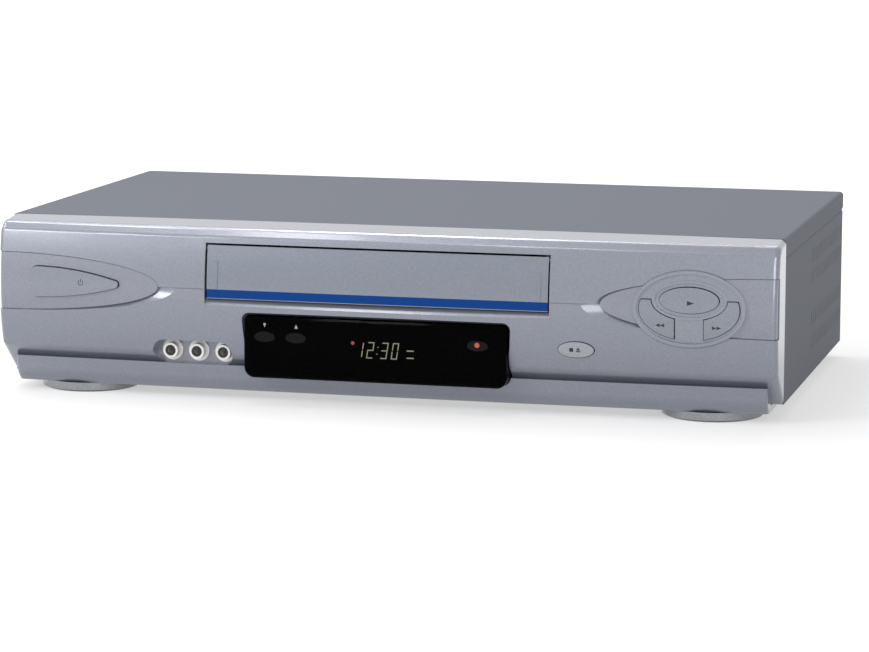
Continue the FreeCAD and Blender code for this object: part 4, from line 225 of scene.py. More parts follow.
# %% A plain shader and a way to roughen it
def base_finish(name, colour, metallic=0.0, roughness=0.5, **sockets):
    """A material with one Principled shader, its output and its Object coordinates."""
    made = bpy.data.materials.new(name)
    made.use_nodes = True
    tree = made.node_tree
    tree.nodes.clear()
    shader = add(tree, "ShaderNodeBsdfPrincipled", {
        "Base Color": linear(colour), "Metallic": metallic, "Roughness": roughness})
    for socket, setting in sockets.items():
        shader.inputs[socket.replace("_", " ")].default_value = setting
    add(tree, "ShaderNodeOutputMaterial", {"Surface": shader.outputs[0]})
    place = add(tree, "ShaderNodeTexCoord")
    return made, tree, shader, place.outputs["Object"]


def shade_between(tree, shader, mask, dark, light, socket="Base Color"):
    """Blend two hex colours by a mask and feed the shader."""
    blend = add(tree, "ShaderNodeMix", {0: mask, 6: linear(dark), 7: linear(light)}, data_type="RGBA")
    tree.links.new(blend.outputs[2], shader.inputs[socket])


def raise_by(tree, shader, height, millimetres, strength=1.0):
    """Use a height pattern of 0 to 1 as relief of a real depth."""
    bump = add(tree, "ShaderNodeBump", {
        "Height": height, "Distance": millimetres * MM, "Strength": strength})
    tree.links.new(bump.outputs[0], shader.inputs["Normal"])


print("helpers for finishes are ready")

# %% [markdown]
# **Silver lacquer on moulded ABS.** Aluminium flake paint on plastic: it shines like a
# satin metal, with a fine sparkle where flakes lie at different angles. Real flakes are
# about 0.05 mm, too fine for this picture, so they are drawn at 0.4 mm. A long, faint
# wave stands for the slight unevenness of sprayed paint, and a thin clear coat on top
# gives the edges their white highlights.

# %% Silver lacquer
def silver_lacquer(name, dark, light, roughness=0.36, metallic=0.5, flake=0.4):
    made, tree, shader, place = base_finish(
        name, light, metallic, roughness, Coat_Weight=1.0, Coat_Roughness=0.12)
    flakes = add(tree, "ShaderNodeTexVoronoi", {"Vector": place, "Scale": 1000 / flake})
    grain = add(tree, "ShaderNodeSeparateColor", {0: flakes.outputs["Color"]})
    shade_between(tree, shader, grain.outputs[0], dark, light)
    wave = add(tree, "ShaderNodeTexNoise", {"Vector": place, "Scale": 220.0, "Detail": 2.0})
    sheen = add(tree, "ShaderNodeMapRange", {
        "Value": wave.outputs["Fac"], "To Min": roughness - 0.03, "To Max": roughness + 0.03})
    tree.links.new(sheen.outputs[0], shader.inputs["Roughness"])
    raise_by(tree, shader, grain.outputs[1], 0.004)
    return made


panel_lacquer = silver_lacquer("silver_lacquer_panel", "7A7E8A", "878B97")
inlay_lacquer = silver_lacquer("silver_lacquer_inlay", "797C87", "868A95", 0.4)
key_lacquer = silver_lacquer("silver_lacquer_keys", "777B86", "858994", 0.36)
ring_lacquer = silver_lacquer("silver_lacquer_ring", "7C808B", "8B909B", 0.32)
stop_lacquer = silver_lacquer("silver_lacquer_stop_key", "90949B", "9FA3A9", 0.3)
door_lacquer = silver_lacquer("silver_lacquer_door", "727884", "7E8490", 0.36)
print("lacquers:", [made.name for made in (
    panel_lacquer, inlay_lacquer, key_lacquer, ring_lacquer, stop_lacquer, door_lacquer)])

# %% [markdown]
# **Satin enamel on sheet steel.** The cover is steel, sprayed a silver grey and baked. It
# is flatter and duller than the lacquer on the front, with the faint orange peel that
# sprayed enamel has: soft bumps about 1.2 mm across.

# %% Cover enamel
def sprayed_enamel(name, dark, light, roughness, metallic=0.1, peel=1.2, speck=0.35, **sockets):
    made, tree, shader, place = base_finish(name, light, metallic, roughness, **sockets)
    tone = add(tree, "ShaderNodeTexNoise", {"Vector": place, "Scale": 1000 / speck, "Detail": 1.0})
    shade_between(tree, shader, tone.outputs["Fac"], dark, light)
    orange_peel = add(tree, "ShaderNodeTexNoise", {"Vector": place, "Scale": 1000 / peel, "Detail": 0.0})
    raise_by(tree, shader, orange_peel.outputs["Fac"], 0.006)
    return made


cover_enamel = sprayed_enamel("satin_silver_enamel", "62666F", "6C7079", 0.62, Specular_IOR_Level=0.15)
rear_enamel = sprayed_enamel("black_enamel_rear_panel", "17181A", "1E1F22", 0.5, metallic=0.0)
screw_black = sprayed_enamel("black_oxide_screws", "1D1D1F", "2A2A2D", 0.35, metallic=0.8, peel=0.6)
print("enamels:", cover_enamel.name, rear_enamel.name, screw_black.name)

# %% [markdown]
# **Moulded plastics.** Sockets, bushes, guides and reels are plain mouldings. A mould is
# spark-eroded, which leaves a fine pebbled skin, here drawn at 0.5 mm so that it shows,
# and the melt leaves slight clouds of tone.

# %% Moulded plastic
def moulded_plastic(name, dark, light, roughness=0.5, grain=0.5, depth=0.01, **sockets):
    made, tree, shader, place = base_finish(name, light, 0.0, roughness, **sockets)
    cloud = add(tree, "ShaderNodeTexNoise", {"Vector": place, "Scale": 120.0, "Detail": 3.0})
    shade_between(tree, shader, cloud.outputs["Fac"], dark, light)
    skin = add(tree, "ShaderNodeTexNoise", {"Vector": place, "Scale": 1000 / grain, "Detail": 1.0})
    raise_by(tree, shader, skin.outputs["Fac"], depth)
    return made


black_abs = moulded_plastic("black_abs_moulding", "0E0E10", "17171A", 0.45)
yellow_abs = moulded_plastic("yellow_abs_moulding", "B8931F", "CBA42B", 0.4)
red_abs = moulded_plastic("red_abs_moulding", "8E1F1C", "A22A25", 0.4)
white_acetal = moulded_plastic("white_acetal_moulding", "C9C8C0", "DAD9D2", 0.42, grain=0.8, depth=0.004)
ivory_nylon = moulded_plastic("ivory_nylon_moulding", "C8C09F", "D8D1B4", 0.4, depth=0.004)
black_rubber = moulded_plastic("black_rubber", "101010", "1A1A1A", 0.7, grain=0.6, depth=0.015)
key_black = moulded_plastic(
    "black_gloss_keys", "0B0B0D", "121216", 0.16, depth=0.001, Specular_IOR_Level=0.1)
# The feet are silver lacquer drawn far darker than the panel's: the silver is their own, the darkness is
# painted shade where they stand under the deck.
foot_lacquer_painted_shade = silver_lacquer("silver_lacquer_feet_painted_shade", "4C4D52", "57585E", 0.35)
silver_trim = silver_lacquer("silver_trim_lacquer", "838589", "999CA0", 0.26)
print("mouldings are ready")

# %% [markdown]
# **Zinc-plated steel.** Frames and the base pan are bright plated sheet. Rolling leaves
# fine parallel lines, so a noise pattern is stretched along Y: about 0.3 mm across the
# lines and 30 mm along them. Plating adds broad clouds of brightness. Turned parts carry
# rings of tool marks. They are drawn 3.1 mm apart, which is far coarser than real ones.

# %% Plated and turned metals
def plated_sheet(name, dark, light, roughness=0.32, squeeze=(3300.0, 33.0, 3300.0), metallic=1.0):
    made, tree, shader, place = base_finish(name, light, metallic, roughness)
    drawn_out = add(tree, "ShaderNodeVectorMath", {0: place, 1: squeeze}, operation="MULTIPLY")
    lines = add(tree, "ShaderNodeTexNoise", {"Vector": drawn_out.outputs[0], "Scale": 1.0, "Detail": 1.0})
    clouds = add(tree, "ShaderNodeTexNoise", {"Vector": place, "Scale": 45.0, "Detail": 3.0})
    both = add(tree, "ShaderNodeMath", {
        0: lines.outputs["Fac"], 1: clouds.outputs["Fac"]}, operation="MULTIPLY")
    spread = add(tree, "ShaderNodeMapRange", {
        "Value": both.outputs[0], "From Min": 0.1, "From Max": 0.45})
    shade_between(tree, shader, spread.outputs[0], dark, light)
    raise_by(tree, shader, lines.outputs["Fac"], 0.003)
    return made


WAVE_RADIANS = 20


def turned_metal(name, dark, light, centre, roughness=0.25, radian=0.5):
    """Machined on a lathe: rings of tool marks about an upright axis at centre, in millimetres."""
    made, tree, shader, place = base_finish(name, light, 1.0, roughness)
    moved = add(tree, "ShaderNodeMapping", {
        "Vector": place, "Location": (-centre[0] * MM, -centre[1] * MM, 0.0)})
    rings = add(tree, "ShaderNodeTexWave", {
        "Vector": moved.outputs[0], "Scale": 1000 / radian / WAVE_RADIANS,
        "Distortion": 0.4, "Detail": 1.0},
        wave_type="RINGS", rings_direction="Z")
    shade_between(tree, shader, rings.outputs["Fac"], dark, light)
    raise_by(tree, shader, rings.outputs["Fac"], 0.002)
    return made


zinc_plate = plated_sheet("zinc_plated_steel", "8E9092", "B9BBBD")
tin_plate = plated_sheet("tinned_steel_can", "9C9E9F", "C6C8C9", 0.28, (900.0, 900.0, 40.0))
nickel = plated_sheet("nickel_plated_brass", "B4B2AE", "D6D4D0", 0.16, (1200.0, 1200.0, 1200.0))
# The front sockets' nickel is a lighter, partly matt copy of the plain nickel: the metal is real, part of
# its brightness is painted highlight for the reflections in the rims.
front_nickel_painted_highlight = plated_sheet(
    "nickel_painted_highlight", "C9C8C6", "E4E3E1", 0.5, (1600.0, 1600.0, 1600.0), metallic=0.75)
steel_shaft = plated_sheet("ground_steel", "85878A", "B3B5B8", 0.22, (60.0, 2500.0, 2500.0))
extruded = plated_sheet("extruded_aluminium", "A8AAAC", "D0D2D4", 0.35, (1800.0, 1800.0, 25.0))
DRUM_CENTRE, CAPSTAN_CENTRE = (0, 80), (58, 34)
drum_metal = turned_metal("diamond_turned_aluminium", "B4B6B9", "DCDEE0", DRUM_CENTRE, 0.16)
flywheel_metal = turned_metal("turned_steel_flywheel", "8C8E90", "B6B8BA", CAPSTAN_CENTRE)
bearing_brass = turned_metal("turned_brass_bearing", "9C8248", "C9AE6C", CAPSTAN_CENTRE)
arm_brass = plated_sheet("plain_brass_arms", "9C8248", "C4A968", 0.28, (700.0, 700.0, 700.0))
print("metals are ready")

# %% [markdown]
# **Boards.** The main board is tan phenolic paper with a printed copper pattern under
# green resist. A brick pattern with narrow joints gives straight tracks 1.2 mm apart, and
# a noise threshold leaves them only in patches.

# %% Circuit boards
def circuit_board(name, ground, track, pitch=1.2):
    made, tree, shader, place = base_finish(name, ground, 0.0, 0.45)
    tracks = add(tree, "ShaderNodeTexBrick", {
        "Vector": place, "Scale": 1000 / pitch / 4, "Color1": (0, 0, 0, 1), "Color2": (0, 0, 0, 1),
        "Mortar": (1, 1, 1, 1), "Mortar Size": 0.06, "Brick Width": 1.6, "Row Height": 0.25})
    patch = add(tree, "ShaderNodeTexNoise", {"Vector": place, "Scale": 70.0, "Detail": 1.0})
    shown = add(tree, "ShaderNodeMath", {0: patch.outputs["Fac"], 1: 0.48}, operation="GREATER_THAN")
    mask = add(tree, "ShaderNodeMath", {
        0: tracks.outputs["Color"], 1: shown.outputs[0]}, operation="MULTIPLY")
    shade_between(tree, shader, mask.outputs[0], ground, track)
    raise_by(tree, shader, mask.outputs[0], 0.03)
    return made


main_board_finish = circuit_board("phenolic_board_tan", "7A5E35", "A88B58")
front_board_finish = circuit_board("solder_resist_green", "1E4A2B", "3B7A48")
print("boards:", main_board_finish.name, front_board_finish.name)

# %% [markdown]
# **Smoked acrylic and glass.** The clock window is clear acrylic dyed nearly black. From
# outside it is nearly black, and only something lit shows through it, so it is made truly
# see-through with a deep tint rather than painted black. Its coat against glare mirrors
# very little, which a low IOR gives. The clock itself is a flat vacuum tube of thin glass.

# %% See-through finishes
def polished_clear(name, tint, roughness, ior, cloud=0.004):
    made, tree, shader, place = base_finish(name, tint, 0.0, roughness, Transmission_Weight=1.0, IOR=ior)
    smear = add(tree, "ShaderNodeTexNoise", {"Vector": place, "Scale": 60.0, "Detail": 2.0})
    haze = add(tree, "ShaderNodeMapRange", {
        "Value": smear.outputs["Fac"], "To Min": roughness, "To Max": roughness + cloud})
    tree.links.new(haze.outputs[0], shader.inputs["Roughness"])
    return made


smoked_acrylic = polished_clear("smoked_acrylic_window", "231F24", 0.03, 1.09, cloud=0.02)
tube_finish = moulded_plastic("dark_tube_glass", "050706", "0A0E0D", 0.08, depth=0.0005, Coat_Weight=0.5)
blue_print, blue_tree, blue_shader, blue_place = base_finish(
    "blue_lacquer_stripe", "08478C", 0.0, 0.4, Specular_IOR_Level=0.12)
blue_grain = add(blue_tree, "ShaderNodeTexNoise", {"Vector": blue_place, "Scale": 900.0, "Detail": 1.0})
shade_between(blue_tree, blue_shader, blue_grain.outputs["Fac"], "06387C", "09428B")
print("clear finishes are ready")

# %% [markdown]
# **Wound and sleeved parts.** The transformer is a stack of steel sheets, dipped in
# varnish, which shows as level lines. They are drawn 3.1 mm apart, where the sheets are
# about 0.5 mm thick. Capacitors wear a shrunk dark blue sleeve.

# %% Laminated core and sleeves
core_finish, core_tree, core_shader, core_place = base_finish(
    "varnished_steel_laminations", "2C2B2B", 0.4, 0.4)
sheets = add(core_tree, "ShaderNodeTexWave", {"Vector": core_place, "Scale": 100.0}, bands_direction="Z")
shade_between(core_tree, core_shader, sheets.outputs["Fac"], "1E1D1D", "3C3A38")
raise_by(core_tree, core_shader, sheets.outputs["Fac"], 0.1)
sleeve_finish = moulded_plastic("shrunk_blue_sleeve", "10162E", "18203F", 0.25, depth=0.002)
print("core and sleeves are ready")

# %% [markdown]
# ## Dressing the CAD pieces
# A CAD piece keeps its mesh and gets its finish in its own slots. The list below says
# which finish goes on which piece.

# %% Assign the finishes
FINISHES = {
    panel_lacquer: "front_panel",
    inlay_lacquer: "power_inlay control_inlay",
    ring_lacquer: "control_ring",
    key_lacquer: "power_button play_button rewind_button fast_forward_button",
    stop_lacquer: "stop_eject_button",
    key_black: "channel_down_button channel_up_button record_button",
    door_lacquer: "cassette_door",
    blue_print: "door_stripe",
    smoked_acrylic: "display_window",
    tube_finish: "fluorescent_display",
    cover_enamel: "top_cover",
    rear_enamel: "rear_panel",
    screw_black: "cover_screws",
    foot_lacquer_painted_shade: "feet",
    silver_trim: "foot_trims",
    front_nickel_painted_highlight: "front_jacks",
    nickel: "rear_jacks antenna_connectors",
    black_abs: "rear_jack_block cord_bush tact_switches reel_clutch",
    white_acetal: "carriage_slider supply_reel takeup_reel",
    ivory_nylon: "loading_worm",
    zinc_plate: "base_pan deck_plate left_guide_frame right_guide_frame top_brace "
                "cassette_holder loading_motor",
    steel_shaft: "drive_shaft idler_arm pinch_arm tension_arm tape_heads",
    tin_plate: "tuner_module",
    extruded: "heat_sink",
    drum_metal: "upper_drum lower_drum",
    flywheel_metal: "capstan_flywheel",
    bearing_brass: "capstan_bearing",
    arm_brass: "supply_loading_arm takeup_loading_arm",
    black_rubber: "drive_belt idler_wheel pinch_roller",
    main_board_finish: "main_board",
    front_board_finish: "front_board",
    core_finish: "transformer",
    sleeve_finish: "filter_capacitors",
}
dressed = set()
for finish, names in FINISHES.items():
    for name in names.split():
        slots = nodes[name].data.materials
        for number in range(len(slots)):
            slots[number] = finish
        dressed.add(name)
print("dressed", len(dressed), "of", len(nodes), "pieces; left:", sorted(set(nodes) - dressed))

# %% [markdown]
# ## Printed signs
# The signs on the keys are pad-printed ink, a skin of paint about 0.04 mm thick. Each one
# is drawn as a flat outline and dropped onto the piece below it: a ray goes back from
# every corner until it meets the piece, so the print follows the curve of the face. The
# rays start 200 mm before the middle of the deck, in front of everything.

# %% Ink and a way to print
ink = moulded_plastic("pad_printing_ink", "101014", "17171C", 0.5, grain=0.3, depth=0.001)
pale_ink = moulded_plastic("pale_printing_ink", "94968F", "A6A8A2", 0.5, grain=0.3, depth=0.001)
INK_DEPTH, RAY_START = 0.04, -200


def closed_mesh(name, shape):
    """Turn a bmesh into a mesh with its normals outwards."""
    bmesh.ops.recalc_face_normals(shape, faces=shape.faces)
    data = bpy.data.meshes.new(name)
    shape.to_mesh(data)
    shape.free()
    return data


def as_piece(name, shape, finish, body):
    """Make a bmesh an object with one finish, and let it ride on a body."""
    data = closed_mesh(name, shape)
    data.materials.append(finish)
    made = bpy.data.objects.new(name, data)
    bpy.context.scene.collection.objects.link(made)
    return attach(made, body)


def print_sign(name, outlines, carrier, finish, body):
    """Lay flat outlines, given as corners of across and drop in mm, on the front of a CAD piece."""
    depsgraph = bpy.context.evaluated_depsgraph_get()
    skin = BVHTree.FromObject(nodes[carrier], depsgraph)
    sign = bmesh.new()
    for corners in outlines:
        faces = []
        for across, drop in corners:
            hit = skin.ray_cast(spot(across, RAY_START, drop), Vector((0, 1, 0)))[0]
            faces.append((sign.verts.new(hit - Vector((0, INK_DEPTH * MM, 0))),
                          sign.verts.new(hit + Vector((0, INK_DEPTH * MM / 2, 0)))))
        sign.faces.new([front for front, back in faces])
        sign.faces.new([back for front, back in reversed(faces)])
        for (front, back), (next_front, next_back) in zip(faces, faces[1:] + faces[:1]):
            sign.faces.new([front, back, next_back, next_front])
    return as_piece(name, sign, finish, body)


def pointing(across, drop, width, height, way):
    """A triangle centred on a place: way is right, left, up or down."""
    w, h = width / 2, height / 2
    shapes = {"right": [(-w, -h), (w, 0), (-w, h)], "left": [(w, -h), (-w, 0), (w, h)],
              "up": [(-w, h), (0, -h), (w, h)], "down": [(-w, -h), (0, h), (w, -h)]}
    return [(across + x, drop + z) for x, z in shapes[way]]


def round_dot(across, drop, radius, corners=20):
    turns = [2 * math.pi * n / corners for n in range(corners)]
    return [(across + radius * math.cos(t), drop + radius * math.sin(t)) for t in turns]


print("ink thickness:", INK_DEPTH, "mm")

# %% [markdown]
# The signs are the plain ones that every tape deck has: a triangle to play, two triangles
# to wind either way, a square to stop and a triangle over a bar to eject.

# %% Print the signs
PLAY_PLACE, PLAY_SIZE, WIND_SIZE = (169.8, 31.7), (3.7, 2.5), (2.4, 1.9)
REWIND_PLACES = ((152.6, 43.7), (155.0, 43.7))
FORWARD_PLACES = ((182.3, 44.2), (184.7, 44.2))
STOP_SQUARE = [(105.8, 57.8), (107.9, 57.8), (107.9, 59.8), (105.8, 59.8)]
EJECT_PLACE, EJECT_SIZE = (110.5, 58.2), (2.3, 1.5)
EJECT_BAR = [(109.4, 59.3), (111.6, 59.3), (111.6, 59.9), (109.4, 59.9)]
DOWN_PLACE, DOWN_SIZE, UP_PLACE, UP_SIZE = (-60.6, 52.2), (1.7, 2.2), (-43.0, 52.3), (1.9, 2.3)

play_sign = print_sign(
    "play_sign", [pointing(*PLAY_PLACE, *PLAY_SIZE, "right")], "play_button", ink, "play_key")
rewind_sign = print_sign(
    "rewind_sign", [pointing(*place, *WIND_SIZE, "left") for place in REWIND_PLACES],
    "rewind_button", ink, "rewind_key")
forward_sign = print_sign(
    "fast_forward_sign", [pointing(*place, *WIND_SIZE, "right") for place in FORWARD_PLACES],
    "fast_forward_button", ink, "fast_forward_key")
stop_sign = print_sign(
    "stop_eject_sign", [STOP_SQUARE, pointing(*EJECT_PLACE, *EJECT_SIZE, "up"), EJECT_BAR],
    "stop_eject_button", ink, "stop_eject_key")
print_sign(
    "channel_signs", [pointing(*DOWN_PLACE, *DOWN_SIZE, "down"), pointing(*UP_PLACE, *UP_SIZE, "up")],
    "display_window", pale_ink, "deck")


def ring_arc(across, drop, radius, stroke, start, end, steps):
    """A band along an arc, as one outline; angles in degrees from the right, clockwise."""
    angles = [math.radians(start + (end - start) * n / steps) for n in range(steps + 1)]
    outside = [(across + (radius + stroke / 2) * math.cos(t), drop + (radius + stroke / 2) * math.sin(t))
               for t in angles]
    inside = [(across + (radius - stroke / 2) * math.cos(t), drop + (radius - stroke / 2) * math.sin(t))
              for t in reversed(angles)]
    return outside + inside


STANDBY_PLACE, STANDBY_RADIUS, STANDBY_STROKE = (-166.0, 33.4), 1.35, 0.35
STANDBY_BAR = [(-166.18, 31.4), (-165.82, 31.4), (-165.82, 33.3), (-166.18, 33.3)]
standby_sign = print_sign(
    "standby_sign", [ring_arc(*STANDBY_PLACE, STANDBY_RADIUS, STANDBY_STROKE, -50, 230, 18), STANDBY_BAR],
    "power_button", ink, "power_key")
print("signs:", play_sign.name, rewind_sign.name, forward_sign.name, stop_sign.name, standby_sign.name)

# %% [markdown]
# ## The clock
# A figure on a fluorescent clock is seven bars, each lit or not. The bar is one small
# hexagonal plate. Geometry Nodes puts a copy on each point, turned by the point's own
# "turn" value, and leans the whole figure to the right as such clocks do. The named inputs
# are the lean and the size, so another clock needs only new numbers.

# %% A node tree that repeats one piece on points
def repeat_tree(name, piece, finish):
    """Copy piece onto points, turned about Y or Z by the points' attributes, then lean it along X."""
    tree = bpy.data.node_groups.new(name, "GeometryNodeTree")
    tree.interface.new_socket("Geometry", in_out="INPUT", socket_type="NodeSocketGeometry")
    tree.interface.new_socket("Size", in_out="INPUT", socket_type="NodeSocketFloat")
    tree.interface.new_socket("Lean", in_out="INPUT", socket_type="NodeSocketFloat")
    tree.interface.new_socket("Lean from height", in_out="INPUT", socket_type="NodeSocketFloat")
    tree.interface.new_socket("Geometry", in_out="OUTPUT", socket_type="NodeSocketGeometry")
    given = add(tree, "NodeGroupInput")
    copied = add(tree, "GeometryNodeObjectInfo", {"Object": piece})
    turn = add(tree, "GeometryNodeInputNamedAttribute", {"Name": "turn"}, data_type="FLOAT_VECTOR")
    placed = add(tree, "GeometryNodeInstanceOnPoints", {
        "Points": given.outputs["Geometry"], "Instance": copied.outputs["Geometry"],
        "Rotation": turn.outputs["Attribute"], "Scale": given.outputs["Size"]})
    solid = add(tree, "GeometryNodeRealizeInstances", {"Geometry": placed.outputs[0]})
    place = add(tree, "GeometryNodeInputPosition")
    split = add(tree, "ShaderNodeSeparateXYZ", {0: place.outputs[0]})
    above = add(tree, "ShaderNodeMath", {0: split.outputs["Z"], 1: given.outputs["Lean from height"]},
                operation="SUBTRACT")
    shift = add(tree, "ShaderNodeMath", {
        0: above.outputs[0], 1: given.outputs["Lean"]}, operation="MULTIPLY")
    offset = add(tree, "ShaderNodeCombineXYZ", {"X": shift.outputs[0]})
    leaning = add(tree, "GeometryNodeSetPosition", {
        "Geometry": solid.outputs[0], "Offset": offset.outputs[0]})
    painted = add(tree, "GeometryNodeSetMaterial", {"Geometry": leaning.outputs[0], "Material": finish})
    add(tree, "NodeGroupOutput", {"Geometry": painted.outputs[0]})
    return tree


def socket_key(tree, name):
    """The identifier of a tree's input, which is what a modifier is set by."""
    return next(item.identifier for item in tree.interface.items_tree
                if item.name == name and item.in_out == "INPUT")


def repeated(name, piece_mesh, finish, points, turns, body, size=1.0, lean=0.0, lean_from=0.0):
    """Bake copies of a mesh on points into one plain piece."""
    pattern = bpy.data.objects.new(name + "_pattern", piece_mesh)
    tree = repeat_tree(name + "_tree", pattern, finish)
    cloud = bpy.data.meshes.new(name + "_points")
    cloud.from_pydata([tuple(p) for p in points], [], [])
    turn = cloud.attributes.new("turn", "FLOAT_VECTOR", "POINT")
    turn.data.foreach_set("vector", [c for t in turns for c in t])
    carrier = bpy.data.objects.new(name + "_carrier", cloud)
    bpy.context.scene.collection.objects.link(carrier)
    modifier = carrier.modifiers.new("repeat", "NODES")
    modifier.node_group = tree
    for socket, setting in (("Size", size), ("Lean", lean), ("Lean from height", lean_from)):
        modifier[socket_key(tree, socket)] = setting
    depsgraph = bpy.context.evaluated_depsgraph_get()
    baked = bpy.data.meshes.new_from_object(carrier.evaluated_get(depsgraph))
    baked.name = name
    bpy.data.objects.remove(carrier)
    bpy.data.objects.remove(pattern)
    made = bpy.data.objects.new(name, baked)
    bpy.context.scene.collection.objects.link(made)
    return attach(made, body)


print("tree inputs: Size, Lean, Lean from height")

# %% [markdown]
# Each bar is 3.7 mm long and 0.52 mm wide with pointed ends. It lies on the glass of the
# clock, which stands 6.5 mm behind the face of the window, and glows pale green as zinc
# oxide phosphor does. The glow is far brighter than it looks, because the smoked window
# swallows most of it.

# %% Lit figures
CLOCK_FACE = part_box("fluorescent_display")[0].y / MM
BAR_LENGTH, BAR_WIDTH, BAR_DEPTH = 3.7, 0.52, 0.05
FIGURE_WIDTH, FIGURE_HEIGHT, FIGURE_LEAN = 2.9, 8.3, 0.16
FIGURE_CENTRES = (-9.4, -3.6, 4.2, 10.0)
CLOCK_MIDDLE, TIME_SHOWN = 64.4, "1230"
PHOSPHOR_GLOW, LAMP_GLOW = 24.0, 20.0
BARS = {  # name: across, up and turn of a bar's centre, in halves of the figure's size
    "top": (0, 1, 0), "middle": (0, 0, 0), "bottom": (0, -1, 0),
    "upper_left": (-1, 0.5, 90), "upper_right": (1, 0.5, 90),
    "lower_left": (-1, -0.5, 90), "lower_right": (1, -0.5, 90)}
FIGURES = {
    "1": "upper_right lower_right", "2": "top upper_right middle lower_left bottom",
    "3": "top upper_right middle lower_right bottom",
    "0": "top upper_left upper_right lower_left lower_right bottom"}

phosphor, glow_tree, glow_shader, glow_place = base_finish("zinc_oxide_phosphor", "C8F0B8", 0.0, 0.8)
glow_shader.inputs["Emission Color"].default_value = linear("D6F3B4")
glow_shader.inputs["Emission Strength"].default_value = PHOSPHOR_GLOW
dust = add(glow_tree, "ShaderNodeTexNoise", {"Vector": glow_place, "Scale": 3000.0})
shade_between(glow_tree, glow_shader, dust.outputs["Fac"], "B8E0A8", "D8F8C8")


def bar_mesh(length, width, depth):
    """A flat hexagonal bar along X with pointed ends, facing -Y."""
    half, low = length / 2 * MM, width / 2 * MM
    ring = [(-half, 0), (-half + low, -low), (half - low, -low),
            (half, 0), (half - low, low), (-half + low, low)]
    plate = bmesh.new()
    front = [plate.verts.new((x, -depth * MM, z)) for x, z in ring]
    back = [plate.verts.new((x, 0, z)) for x, z in ring]
    plate.faces.new(front)
    plate.faces.new(back[::-1])
    for n in range(len(ring)):
        m = (n + 1) % len(ring)
        plate.faces.new([front[n], back[n], back[m], front[m]])
    return closed_mesh("clock_bar", plate)


points, turns = [], []
for figure, centre in zip(TIME_SHOWN, FIGURE_CENTRES):
    for bar in FIGURES[figure].split():
        across, up, turn = BARS[bar]
        points.append(spot(centre + across * FIGURE_WIDTH / 2, CLOCK_FACE,
                           CLOCK_MIDDLE - up * FIGURE_HEIGHT / 2))
        turns.append((0.0, math.radians(turn), 0.0))
lean_from = (TOP - CLOCK_MIDDLE) * MM
repeated("clock_figures", bar_mesh(BAR_LENGTH, BAR_WIDTH, BAR_DEPTH), phosphor, points, turns, "deck",
         lean=FIGURE_LEAN, lean_from=lean_from)
print("lit bars:", len(points))

# %% [markdown]
# Between the hours and the minutes stand two short bars as a colon, and to the right of
# the clock lie two small plain bars. A red lamp left of the clock is a round
# light-emitting diode.

# %% Colon, small bars and the red lamp
COLON_ACROSS, COLON_DROPS, COLON_LENGTH = 0.35, (62.6, 66.3), 0.8
SMALL_BARS_ACROSS, SMALL_BARS_DROPS, SMALL_BARS_LENGTH, SHORT_WIDTH = 18.4, (63.9, 67.8), 4.2, 0.6
UNTURNED = [(0, 0, 0)]
repeated("clock_colon", bar_mesh(COLON_LENGTH, SHORT_WIDTH, BAR_DEPTH), phosphor,
         [spot(COLON_ACROSS, CLOCK_FACE, drop) for drop in COLON_DROPS], UNTURNED * 2, "deck",
         lean=FIGURE_LEAN, lean_from=lean_from)
repeated("clock_small_bars", bar_mesh(SMALL_BARS_LENGTH, SHORT_WIDTH, BAR_DEPTH), phosphor,
         [spot(SMALL_BARS_ACROSS, CLOCK_FACE, drop) for drop in SMALL_BARS_DROPS], UNTURNED * 2, "deck")

red_light, red_tree, red_shader, red_place = base_finish("red_lamp_lens", "C02020", 0.0, 0.3)
red_shader.inputs["Emission Color"].default_value = linear("FF8C84")
red_shader.inputs["Emission Strength"].default_value = LAMP_GLOW
red_cloud = add(red_tree, "ShaderNodeTexNoise", {"Vector": red_place, "Scale": 1500.0})
shade_between(red_tree, red_shader, red_cloud.outputs["Fac"], "B04040", "D86060")


def dome_mesh(radius, height, rings=5, steps=20):
    """A low dome that bulges towards -Y, closed at the back."""
    dome = bmesh.new()
    tip = dome.verts.new((0, -height * MM, 0))
    loops = []
    for ring in range(1, rings + 1):
        lean = math.pi / 2 * ring / rings
        loops.append([dome.verts.new((radius * MM * math.sin(lean) * math.cos(2 * math.pi * n / steps),
                                      -height * MM * math.cos(lean),
                                      radius * MM * math.sin(lean) * math.sin(2 * math.pi * n / steps)))
                      for n in range(steps)])
    for n in range(steps):
        m = (n + 1) % steps
        dome.faces.new([tip, loops[0][n], loops[0][m]])
        for inner, outer in zip(loops, loops[1:]):
            dome.faces.new([inner[n], outer[n], outer[m], inner[m]])
    dome.faces.new(loops[-1][::-1])
    return closed_mesh("dome", dome)


LAMP_RADIUS, LAMP_HEIGHT, LAMP_PLACE = 1.0, 0.6, (-13.4, CLOCK_FACE, 60.9)
RECORD_DOT, RECORD_DOT_RADIUS = (56.8, 58.0), 1.35
lamp = repeated("red_clock_lamp", dome_mesh(LAMP_RADIUS, LAMP_HEIGHT), red_light, [spot(*LAMP_PLACE)],
                UNTURNED, "deck")
record_paint = moulded_plastic("red_printing_ink", "B9403C", "CE5A54", 0.35, depth=0.001)
record_dot = print_sign("record_dot", [round_dot(*RECORD_DOT, RECORD_DOT_RADIUS)], "record_button",
                        record_paint, "record_key")
print("lamp and record dot:", lamp.name, record_dot.name)

# %% [markdown]
# ## Sockets
# A phono socket is a metal tube round a moulded plug of plastic with a hole for the pin.
# The metal is in the CAD model. The plastic is a thin ring on its front: black on the front
# sockets, and at the back yellow, white and red, the usual colours for picture, left and
# right sound. One ring is repeated on the centres of the sockets. Those at the back are
# turned half round.

# %% Rings in the sockets
LIP_SHARE = 0.3


